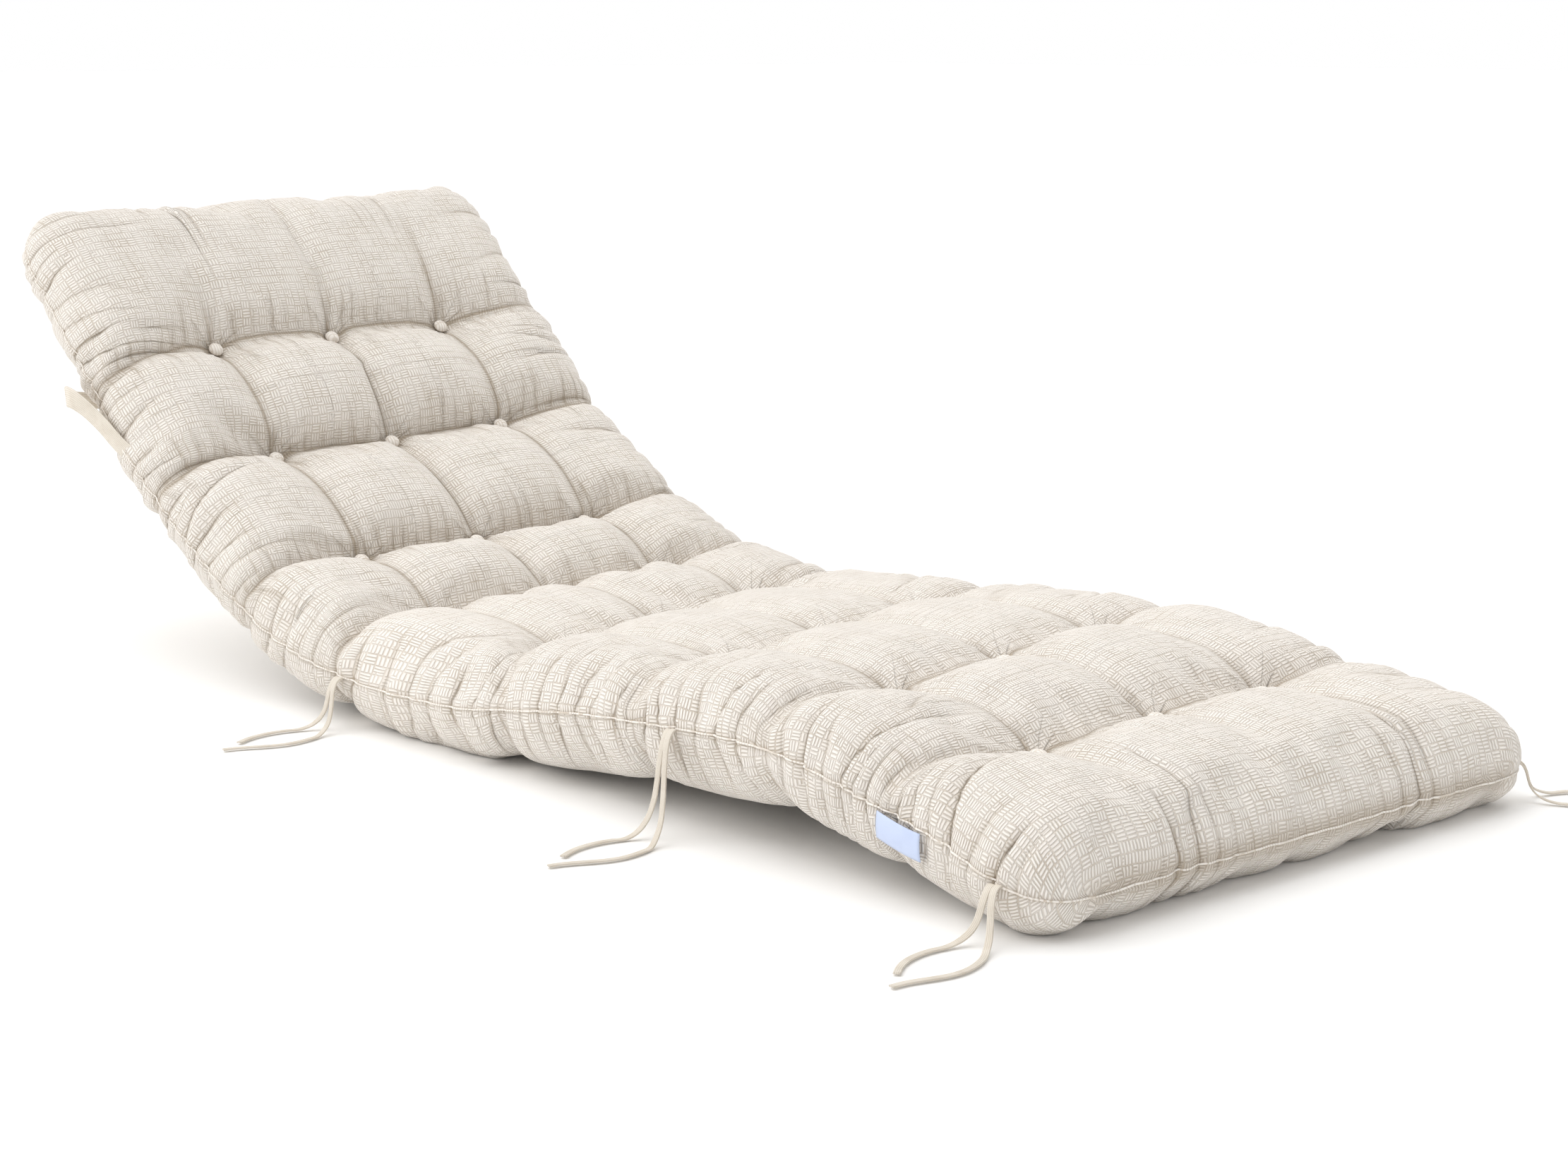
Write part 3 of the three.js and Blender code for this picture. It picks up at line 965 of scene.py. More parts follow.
@dataclass
class Studio:
    """The camera of the photograph, a pale floor and soft light."""

    lens: float = 64.8
    azimuth: float = -42.63
    elevation: float = 11.07
    distance: float = 2.904
    target: tuple = (0.177, 0.0388, 0.093)
    foot_wall: float = 0.56
    floor_side: float = 40.0
    floor_colour: tuple = (0.97, 0.97, 0.967, 1.0)
    warm: tuple = (1.0, 0.985, 0.96)
    looks_at: tuple = (0.0, 0.0, 0.15)
    sun: tuple = (0.25, -0.1, -1.0)
    sun_power: float = 1.15
    sun_spread: float = 60.0
    sun_colour: tuple = (1.0, 0.985, 0.965)

    def camera(self) -> None:
        """Sets up the camera at the photograph's viewing angle."""
        data = bpy.data.cameras.new("camera")
        data.lens, data.sensor_width, data.sensor_fit = self.lens, 36.0, "HORIZONTAL"
        data.clip_start, data.clip_end = 0.05, 60.0
        camera = bpy.data.objects.new("camera", data)
        bpy.context.scene.collection.objects.link(camera)
        az, el = math.radians(self.azimuth), math.radians(self.elevation)
        back = Vector((math.sin(az) * math.cos(el), -math.cos(az) * math.cos(el), math.sin(el)))
        right = Vector((math.cos(az), math.sin(az), 0.0))
        turn = Matrix((right, back.cross(right), back)).transposed()
        stand = Matrix.Translation(Vector(self.target) + back * self.distance)
        camera.matrix_world = stand @ turn.to_4x4()
        bpy.context.scene.camera = camera

    def floor(self) -> None:
        """Lays the pale floor."""
        corners = np.array([(-1, -1, 0), (1, -1, 0), (1, 1, 0), (-1, 1, 0)]) * self.floor_side
        floor = mesh_piece("floor", corners, [(0, 1, 2, 3)])
        material, board = new_material("pale_floor")
        board.surface(self.floor_colour, {"Roughness": 0.95, "Specular IOR Level": 0.1})
        floor.data.materials.append(material)

    def lamp(self, name: str, at: tuple, size: float, power: float) -> None:
        """Hangs a soft square lamp that looks at the cushion.

        Args:
            name: The lamp's name.
            at: Its place in metres.
            size: The length of its side in metres.
            power: Its power in watts.
        """
        data = bpy.data.lights.new(name, "AREA")
        data.size, data.energy, data.color = size, power, self.warm
        lamp = bpy.data.objects.new(name, data)
        bpy.context.scene.collection.objects.link(lamp)
        lamp.location = at
        way = Vector(self.looks_at) - Vector(at)
        lamp.rotation_euler = way.to_track_quat("-Z", "Y").to_euler()

    def light(self) -> None:
        """Hangs the lamps and fills the room with white light."""
        scene = bpy.context.scene
        world = bpy.data.worlds.new("studio")
        world.use_nodes = True
        board = Board(world.node_tree)
        way = board.add("ShaderNodeTexCoord").outputs["Generated"]
        toward_head = board.between(board.split(way)[1], -0.5, 0.3)
        room = board.plus(self.foot_wall, board.times(toward_head, 1.0 - self.foot_wall))
        sky = board.add("ShaderNodeBackground", {"Color": (1.0, 1.0, 1.0, 1.0), "Strength": room})
        board.add("ShaderNodeOutputWorld", {"Surface": sky.outputs[0]})
        scene.world = world
        scene.view_settings.view_transform = "Standard"
        high = bpy.data.lights.new("overhead", "SUN")
        high.energy, high.color = self.sun_power, self.sun_colour
        high.angle = math.radians(self.sun_spread)
        overhead = bpy.data.objects.new("overhead", high)
        scene.collection.objects.link(overhead)
        overhead.rotation_euler = Vector(self.sun).to_track_quat("-Z", "Y").to_euler()
        self.lamp("right", (2.4, 0.4, 1.9), 1.0, 8.0)
        self.lamp("left", (-2.6, 1.4, 1.5), 1.2, 10.0)

    def build(self) -> None:
        """Sets up the whole studio."""
        self.camera()
        self.floor()
        self.light()


# The filled pad


# What every point of the pad keeps: across in mm, the row count, metres along the middle, from the side
# seam and from the nearer end, and 1 on the top, -1 on the underside and 0 on the seam
KEPT_FIELDS = ("x", "place", "along", "from_side", "from_end", "side")


@dataclass
class FilledPad:
    """The pad's skin, swollen by its filling and gathered along its seams, rows and tufts.

    The form and what holds it are in millimetres, everything from side_span on in metres.
    """

    cells_along: int = 22
    cells_across: int = 14
    end_crowd: float = 1.45
    pressure: float = 4.0
    slack: float = -0.06
    most_move: float = 0.008
    spare: float = 4.0
    frames: int = 18
    columns: tuple = (-1, 0, 1)
    row_hold: tuple = (0.5, 9.0)
    tuft_hold: float = 14.0
    side_span: tuple = (-0.05, 1.95)
    side_spacing: tuple = (0.017, 0.036)
    side_lean: tuple = (0.7, 0.15, 0.09)
    end_fade: float = 0.05
    end_span: tuple = (-0.45, 0.45)
    end_spacing: tuple = (0.015, 0.03)
    end_corner: tuple = (0.295, 0.05)
    pleats: tuple = (0.14, 1.1, 0.14, 0.03)
    row_span: tuple = (-0.36, 0.36)
    row_spacing: tuple = (0.012, 0.024)
    drag_reach: float = 0.35
    drag_share: float = 0.55
    drag_start: float = 0.004
    drag_depth: float = 0.3
    cleft: tuple = (0.0035, 0.006, 0.02, 0.10)
    seat_row: int = 5
    back_tuft: float = 0.003
    seat_tuft: float = 0.0015
    tuft_width: float = 0.013
    tuft_reach: float = 0.055
    ray_fade: tuple = (0.015, 0.065)
    ray_start: float = 0.012
    ray_depth: float = 0.0022
    filling_lumps: tuple = ((0.055, 3.1, 0.0016), (0.11, 9.3, 0.0022))
    lump_start: float = 0.03

    def stations(self) -> np.ndarray:
        """Gives the places along the pad, closer together at rows and ends.

        Returns:
            The places in order, from the head seam to the foot seam.
        """
        share = np.linspace(0, 1, self.cells_along + 1)[:-1]
        near_row = share - 0.2 * np.sin(2 * np.pi * share) / (2 * np.pi)
        inner = np.concatenate([near_row + row for row in range(1, FORM.panels - 1)])
        ends = np.linspace(0, 1, self.cells_along + 1) ** self.end_crowd
        return np.concatenate([ends[:-1], inner, FORM.panels - ends[::-1]])

    def section(self, face: Face, place: float) -> np.ndarray:
        """Spaces points across one section evenly along its arc, with the columns on points.

        Args:
            face: The face.
            place: Where the section lies.

        Returns:
            Millimetres across, and metres along the arc from the middle.
        """
        edges, here = np.array([1.0, -1.0]), np.full(2, place)
        right, left = FORM.seam(edges, here)
        right_half, left_half = FORM.half(edges, here)
        angle = np.linspace(0, np.pi, 241)
        fine = np.where(angle < np.pi / 2, right, left) * np.cos(angle)
        spots = FORM.skin(face, fine, np.full_like(fine, place), self.spare)
        arc = run_length(spots)
        marks = [right, right_half / 2, 0.0, -left_half / 2, -left]
        at = np.interp([-m for m in marks], -fine, arc)
        steps = [np.linspace(at[k], at[k + 1], self.cells_across + 1)[:-1] for k in range(4)]
        even = np.concatenate(steps + [[at[-1]]])
        return np.interp(even, arc, fine), even - at[2]

    def net(self) -> dict:
        """Lays out the pad's net of points.

        Returns:
            Arrays of the points, the faces, each face's cloth coordinates and each point's place.
        """
        stations = self.stations()
        middle = FORM.point(np.zeros_like(stations), stations, np.zeros_like(stations))
        along = run_length(middle)
        layers = {}
        for face in Face:
            rows = [self.section(face, place) for place in stations]
            x = np.array([row[0] for row in rows])
            arc = np.array([row[1] for row in rows])
            place = np.repeat(stations[:, None], x.shape[1], axis=1)
            spots = FORM.skin(face, x, place, self.spare)
            from_side = np.minimum(arc - arc[:, :1], arc[:, -1:] - arc)
            from_end = np.minimum(along, along[-1] - along)[:, None] + 0 * x
            ridge = FORM.skin(face, np.full_like(stations, 75.0), stations, self.spare)
            run = run_length(ridge)
            layers[face] = {
                "spots": spots, "x": x, "place": place, "arc": arc, "run": run[:, None] + 0 * x,
                "along": along[:, None] + 0 * x, "from_side": from_side, "from_end": from_end,
            }
        return self.joined(layers)

    def joined(self, layers: dict) -> dict:
        """Joins the two faces' nets along the seam, with one point for each place of the seam.

        Args:
            layers: The net of each face.

        Returns:
            The same arrays as the net's.
        """
        top, under = layers[Face.TOP], layers[Face.UNDER]
        n, m = top["x"].shape
        number = np.arange(n * m).reshape(n, m)
        inner = np.zeros((n, m), bool)
        inner[1:-1, 1:-1] = True
        below = number.copy()
        below[inner] = n * m + np.arange(inner.sum())
        fields = {}
        for key in KEPT_FIELDS[:-1]:
            fields[key] = np.concatenate([top[key].ravel(), under[key][inner]])
        points = np.concatenate([top["spots"].reshape(-1, 3), under["spots"][inner]])
        side = np.concatenate([np.where(inner, 1.0, 0.0).ravel(), -np.ones(inner.sum())])
        faces, cloth = [], []
        for layer, ids, offset, flip in ((top, number, 0.0, False), (under, below, 3.0, True)):
            u = -layer["arc"] + offset
            v = layer["run"]
            a, b = ids[:-1, :-1], ids[:-1, 1:]
            c, d = ids[1:, 1:], ids[1:, :-1]
            quad = [a, b, c, d]
            us = [u[:-1, :-1], u[:-1, 1:], u[1:, 1:], u[1:, :-1]]
            vs = [v[:-1, :-1], v[:-1, 1:], v[1:, 1:], v[1:, :-1]]
            if flip:
                quad, us, vs = quad[::-1], us[::-1], vs[::-1]
            faces.append(np.stack(quad, -1).reshape(-1, 4))
            cloth.append(np.stack([np.stack(us, -1), np.stack(vs, -1)], -1).reshape(-1, 4, 2))
        return {
            "points": points, "faces": np.concatenate(faces), "cloth": np.concatenate(cloth),
            "side": side, **fields,
        }

    def sew(self) -> bpy.types.Object:
        """Makes the unfilled skin as a mesh that knows where each point belongs.

        Returns:
            The flat-seamed skin.
        """
        net = self.net()
        points = net["points"].copy()
        points[:, 2] = np.maximum(points[:, 2], 0.0)
        pad = mesh_piece("pad", points, net["faces"].tolist())
        put_map(pad.data, "cloth", net["cloth"])
        for key in KEPT_FIELDS:
            put_attribute(pad.data, key, net[key])
        return pad

    def tufts(self) -> np.ndarray:
        """Gives (place along, millimetres across) of every tuft.

        Returns:
            One row for each tuft, row by row.
        """
        spots = []
        for row in range(1, FORM.panels):
            for column in self.columns:
                half = float(FORM.half(np.array([column]), np.array([float(row)]))[0])
                spots.append((row, column * half / 2))
        return np.array(spots, float)

    def held(self, mesh: bpy.types.Mesh) -> np.ndarray:
        """Says how firmly each point is sewn down, from 0 to 1.

        Args:
            mesh: The mesh.

        Returns:
            One number for each point.
        """
        x, place = attribute(mesh, "x"), attribute(mesh, "place")
        side = attribute(mesh, "side")
        row_gap = FORM.row_gap(FORM.curved(x, place)) / MM
        most, width = self.row_hold
        firm = most * np.exp(-((row_gap / width) ** 2)) * (1 - 0.8 * FORM.side_share(x, place))
        for row, across in self.tufts():
            gap = np.hypot((place - row) * FORM.end_panel, x - across)
            firm = np.maximum(firm, np.exp(-((gap / self.tuft_hold) ** 2)))
        firm = np.where(side == 0.0, 1.0, firm)
        return np.clip(firm, 0.0, 1.0)

    def swell(self, pad: bpy.types.Object) -> None:
        """Fills the skin: a short cloth simulation under pressure, its moves capped.

        Args:
            pad: The sewn skin.
        """
        mesh = pad.data
        start = places(mesh)
        firm = self.held(mesh)
        group = pad.vertex_groups.new(name="sewn")
        for step in range(0, 21):
            share = step / 20
            chosen = np.nonzero(np.round(firm * 20) == step)[0]
            if step and len(chosen):
                group.add(chosen.tolist(), share, "REPLACE")
        cloth = pad.modifiers.new("filling", "CLOTH")
        settings = cloth.settings
        settings.quality = 5
        settings.mass = 0.25
        settings.tension_stiffness = settings.compression_stiffness = 12.0
        settings.shear_stiffness = 4.0
        settings.bending_stiffness = 0.15
        settings.vertex_group_mass = "sewn"
        settings.pin_stiffness = 1.0
        settings.use_pressure = True
        settings.uniform_pressure_force = self.pressure
        settings.shrink_min = self.slack
        settings.effector_weights.gravity = 0.0
        cloth.collision_settings.use_collision = False
        scene = bpy.context.scene
        for number in range(1, self.frames + 1):
            scene.frame_set(number)
        view = bpy.context.evaluated_depsgraph_get()
        swollen = places(pad.evaluated_get(view).data)
        pad.modifiers.clear()
        scene.frame_set(1)
        move = swollen - start
        length = np.linalg.norm(move, axis=1, keepdims=True)
        reach = self.most_move * np.tanh(length / self.most_move)
        put_places(mesh, start + move * reach / np.maximum(length, 1e-9))
        log.info("pad swollen, mean move %.1f mm, most %.1f mm", length.mean() / MM, length.max() / MM)

    def refine(self, pad: bpy.types.Object) -> None:
        """Divides the skin once more.

        Args:
            pad: The skin.
        """
        finer = pad.modifiers.new("finer", "SUBSURF")
        finer.levels = finer.render_levels = 1
        finer.boundary_smooth = "ALL"
        finished_mesh(pad)
        pad.data.shade_smooth()

    def side_folds(self, skin: "Skin", rng: np.random.Generator) -> None:
        """Gathers the cloth along both side seams, with folds that lean away from the rows.

        Args:
            skin: The pad's points.
            rng: The seeded source of chance.
        """
        most, across, along = self.side_lean
        lean = most * np.clip(skin.from_side / across, 0, 1) * (1 - np.clip(skin.to_row / along, -1, 1) ** 2)
        t = skin.along + skin.to_row * lean
        lines = np.zeros((len(t), 3))
        for edge in (-1, 1):
            folds = Folds.drawn(rng, self.side_span, self.side_spacing)
            here = (skin.x >= 0) == (edge > 0)
            skin.press(folds, here, t, skin.from_side, smooth(skin.from_end / self.end_fade), lines)
        put_vectors(skin.mesh, "side_folds", lines)

    def end_folds(self, skin: "Skin", rng: np.random.Generator) -> None:
        """Gathers both end seams, with bundles of pleats beside the columns.

        Args:
            skin: The pad's points.
            rng: The seeded source of chance.
        """
        least, more, middle, width = self.pleats
        corner, corner_fade = self.end_corner
        t = skin.x * MM
        lines = np.zeros((len(t), 3))
        for end in (0, 1):
            folds = Folds.drawn(rng, self.end_span, self.end_spacing)
            folds.strength *= least + more * np.exp(-(((np.abs(folds.at) - middle) / width) ** 2))
            here = (skin.place < FORM.panels / 2) == (end == 0)
            fade = smooth((corner - np.abs(skin.x) * MM) / corner_fade)
            skin.press(folds, here, t, skin.from_end, fade, lines)
        put_vectors(skin.mesh, "end_folds", lines)

    def row_folds(self, skin: "Skin", rng: np.random.Generator) -> None:
        """Adds the fine drag lines beside the rows of the top, fainter on the seat.

        Args:
            skin: The pad's points.
            rng: The seeded source of chance.
        """
        lines = np.zeros((len(skin.x), 3))
        for row in range(1, FORM.panels):
            for bank in (-1, 1):
                folds = Folds.drawn(rng, self.row_span, self.row_spacing)
                folds.reach[1] = self.drag_reach * folds.reach[1]
                on = (FORM.nearest_row(skin.place) == row) & (np.sign(skin.to_row) == bank) & (skin.side >= 0)
                gap, t = np.abs(skin.to_row[on]), skin.x[on] * MM
                share = self.drag_share * (1 - 0.5 * skin.seat[on]) * smooth(gap / self.drag_start)
                skin.move[on] += self.drag_depth * share * folds.press(t, gap, 1)
                lines[on] = folds.lines(t, gap, 1, share)
        put_vectors(skin.mesh, "row_folds", lines)

    def clefts(self, skin: "Skin") -> None:
        """Draws the rows in where they meet the side seam.

        Args:
            skin: The pad's points.
        """
        depth, width, start, reach = self.cleft
        cleft = np.exp(-np.abs(skin.to_row) / width) * (1 - smooth((skin.from_side - start) / reach))
        skin.move -= depth * cleft * np.where(skin.side < 0, 1.0, 0.7)

    def tuft_folds(self, skin: "Skin") -> None:
        """Draws the tufts in, with fine folds that run out from them, and keeps where the nearest lies.

        Args:
            skin: The pad's points.
        """
        nearest = np.full(len(skin.x), FAR)
        tuft = np.zeros((len(skin.x), 3))
        drawn = np.zeros(len(skin.x))
        for row, across in self.tufts():
            dx, dy = skin.to_tuft(row, across)
            gap = np.hypot(dx, dy)
            near = gap < nearest
            nearest = np.where(near, gap, nearest)
            tuft[near, 0], tuft[near, 1] = dx[near], dy[near]
            drawn[near] = self.back_tuft if row < self.seat_row else self.seat_tuft
        start, reach = self.ray_fade
        tuft[:, 2] = (1 - smooth((nearest - start) / reach)) * (skin.side > 0)
        put_vectors(skin.mesh, "tuft", tuft)
        turn = np.arctan2(tuft[:, 1], tuft[:, 0])
        ray = 0.5 * np.cos(7 * turn + 1.3 * skin.place) + 0.35 * np.cos(12 * turn + skin.x * 0.03)
        fade = tuft[:, 2] * smooth(nearest / self.ray_start)
        skin.move -= self.ray_depth * fade * np.abs(ray) ** 0.8
        skin.move -= drawn * np.exp(-((nearest / self.tuft_width) ** 2)) * (skin.side > 0)

    def lumps(self, skin: "Skin", points: np.ndarray) -> None:
        """Adds the soft lumps of the filling, which end at the seam."""
        lumps = sum(rough_noise(points, size, seed) * rise for size, seed, rise in self.filling_lumps)
        skin.move += lumps * smooth(skin.seam_gap / self.lump_start)

    def column_depth(self, skin: "Skin") -> np.ndarray:
        """Gives how deep every point's column is drawn, from 0 to 1.

        Args:
            skin: The pad's points.

        Returns:
            One depth for each point, less past the last tufts, on the underside and toward the head.
        """
        place, left_or_middle = skin.place, skin.column < 1
        past = np.maximum(1 - place, place - FORM.panels + 1)
        start = np.where((place < 1) & left_or_middle, 0.02, 0.2)
        drawn = 1 - smooth((past - start) / np.where(left_or_middle, 0.35, 0.75))
        drawn = drawn * np.where(skin.side >= 0, 1.0, 0.5)
        return drawn * (1 - 0.55 * smooth((0.85 - place) / 0.6))

    def crease_lines(self, skin: "Skin") -> None:
        """Keeps how far every point lies from its row, its column and the seam, and how deep the row and
        column are drawn, for the cloth's grooves and its painted shade.

        Args:
            skin: The pad's points.
        """
        column_gap = (skin.x - skin.column * skin.half / 2) * MM
        put_vectors(skin.mesh, "sewn_lines", np.column_stack([skin.to_row, column_gap, skin.seam_gap]))
        off = np.full(len(skin.x), FAR)
        for row, across in self.tufts():
            off = np.minimum(off, np.hypot(*skin.to_tuft(row, across)))
        between = skin.seat * (1 - np.exp(-((off / self.tuft_reach) ** 2)))
        side = FORM.side_share(skin.x, skin.place)
        row_drawn = (1 - 0.35 * side) * (1 - 0.62 * between)
        column_drawn = self.column_depth(skin) * (1 - 0.65 * between)
        put_vectors(skin.mesh, "sewn_depth", np.column_stack([row_drawn, column_drawn, 0 * side]))

    def gather(self, pad: bpy.types.Object) -> None:
        """Presses the folds into the skin and lays the underside flat where it rests.

        Args:
            pad: The swollen skin.
        """
        skin, rng = Skin(pad.data), np.random.default_rng(SEED)
        self.side_folds(skin, rng)
        self.end_folds(skin, rng)
        self.row_folds(skin, rng)
        self.clefts(skin)
        self.tuft_folds(skin)
        points = places(pad.data)
        self.lumps(skin, points)
        put_places(pad.data, points + outward_normals(pad.data) * skin.move[:, None])
        rest_on_surface(pad.data)
        self.crease_lines(skin)

    def build(self, cloth: bpy.types.Material) -> bpy.types.Object:
        """Makes the filled pad.

        Args:
            cloth: The woven cloth.

        Returns:
            The finished piece.
        """
        pad = self.sew()
        self.swell(pad)
        self.refine(pad)
        self.gather(pad)
        pad.data.materials.append(cloth)
        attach(pad, "root")
        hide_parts("cushion")
        log.info("pad: %d faces", len(pad.data.polygons))
        return pad


@dataclass
class Folds:
    """Irregular folds that start at a seam and fade away from it."""

    at: np.ndarray
    strength: np.ndarray
    reach: dict
    bend: dict

    @classmethod
    def drawn(cls, rng: np.random.Generator, span: tuple, spacing: tuple) -> "Folds":
        """Draws the folds of one seam.

        Args:
            rng: The seeded source of chance.
            span: Where the folds start and end along the seam, in metres.
            spacing: Least and greatest distance between two folds.

        Returns:
            The folds.
        """
        at = [span[0]]
        while at[-1] < span[1]:
            at.append(at[-1] + rng.uniform(*spacing))
        n = len(at)
        long = rng.random(n) < 0.45
        reach = np.where(long, rng.uniform(0.13, 0.20, n), rng.uniform(0.05, 0.10, n))
        return cls(
            np.array(at),
            rng.uniform(0.4, 1.2, n),
            {1: reach, -1: rng.uniform(0.05, 0.11, n)},
            {1: rng.uniform(-0.2, 0.2, n), -1: rng.uniform(-0.3, 0.3, n)},
        )

    def shifted(self, t: np.ndarray, gap: np.ndarray, face: int) -> np.ndarray:
        """Follows each fold's own slant back to the seam."""
        return t - np.interp(t, self.at, self.bend[face]) * gap

    def fade(self, i: np.ndarray, gap: np.ndarray, face: int) -> np.ndarray:
        """Gives how strong fold i still is at a distance from the seam."""
        reach = self.reach[face][i]
        return self.strength[i] * (1 - smooth((gap - 0.35 * reach) / (0.65 * reach)))

    def press(self, t: np.ndarray, gap: np.ndarray, face: int) -> np.ndarray:
        """Gives the move along the normal in metres.

        Args:
            t: Distance along the seam in metres.
            gap: Distance from the seam in metres.
            face: 1 on the top, -1 on the underside.

        Returns:
            One move for each point.
        """
        t = self.shifted(t, gap, face)
        right = np.clip(np.searchsorted(self.at, t), 1, len(self.at) - 1)
        move = np.zeros(len(t))
        width = 0.0052 + 0.03 * np.clip(gap, 0, 0.1)
        for k in (-2, -1, 0, 1):
            i = np.clip(right + k, 0, len(self.at) - 1)
            off = t - self.at[i]
            valley = np.exp(-np.abs(off) / width)
            lip = np.exp(-(((off - 1.1 * width) / width) ** 2))
            move += self.fade(i, gap, face) * (-0.0075 * valley + 0.0022 * lip)
        return move * (0.5 + 0.5 * smooth(gap / 0.016))

    def lines(self, t: np.ndarray, gap: np.ndarray, face: int, fade: np.ndarray) -> np.ndarray:
        """Gives the count of folds so far, the nearest's strength and the distance from the seam.

        Args:
            t: Distance along the seam in metres.
            gap: Distance from the seam in metres.
            face: 1 on the top, -1 on the underside.
            fade: How far the folds are let in.

        Returns:
            Three numbers for each point.
        """
        t = self.shifted(t, gap, face)
        count = np.interp(t, self.at, np.arange(len(self.at)))
        i = np.clip(np.round(count).astype(int), 0, len(self.at) - 1)
        return np.column_stack([count, self.fade(i, gap, face) * fade, gap])


# Farther off than any tuft, in metres
FAR = 9.0


class Skin:
    """The pad's points, what each of them keeps, and how far it is moved along its normal in metres."""

    def __init__(self, mesh: bpy.types.Mesh) -> None:
        """Reads what the points keep and works out their distances in metres."""
        self.mesh = mesh
        kept = [attribute(mesh, key) for key in KEPT_FIELDS]
        self.x, self.place, self.along, self.from_side, self.from_end, self.side = kept
        self.half = FORM.half(self.x, self.place)
        self.column = np.clip(np.round(self.x / (self.half / 2)), -1, 1)
        self.to_row = FORM.row_gap(FORM.curved(self.x, self.place))
        self.seam_gap = np.minimum(self.from_side, self.from_end)
        self.seat = smooth((self.place - 3.4) / 0.8)
        self.move = np.zeros(len(self.x))

    def to_tuft(self, row: float, across: float) -> tuple[np.ndarray, np.ndarray]:
        """Gives how far every point lies across and along from one tuft."""
        return (self.x - across) * MM, (self.place - row) * FORM.end_panel * MM

    def press(self, folds: Folds, here: np.ndarray, t: np.ndarray, gap: np.ndarray,
              fade: np.ndarray, lines: np.ndarray) -> None:
        """Presses the folds of one seam into both faces and fills in their lines.

        Args:
            folds: The folds.
            here: Which points belong to this seam.
            t: Distance along the seam in metres.
            gap: Distance from the seam in metres.
            fade: How far the folds are let in at every point, from 0 to 1.
            lines: The lines of the folds, to be filled in.
        """
        for face in (1, -1):
            on = here & (self.side * face >= 0)
            self.move[on] += fade[on] * folds.press(t[on], gap[on], face)
            lines[on] = folds.lines(t[on], gap[on], face, fade[on])


# Pieces sewn on to the pad


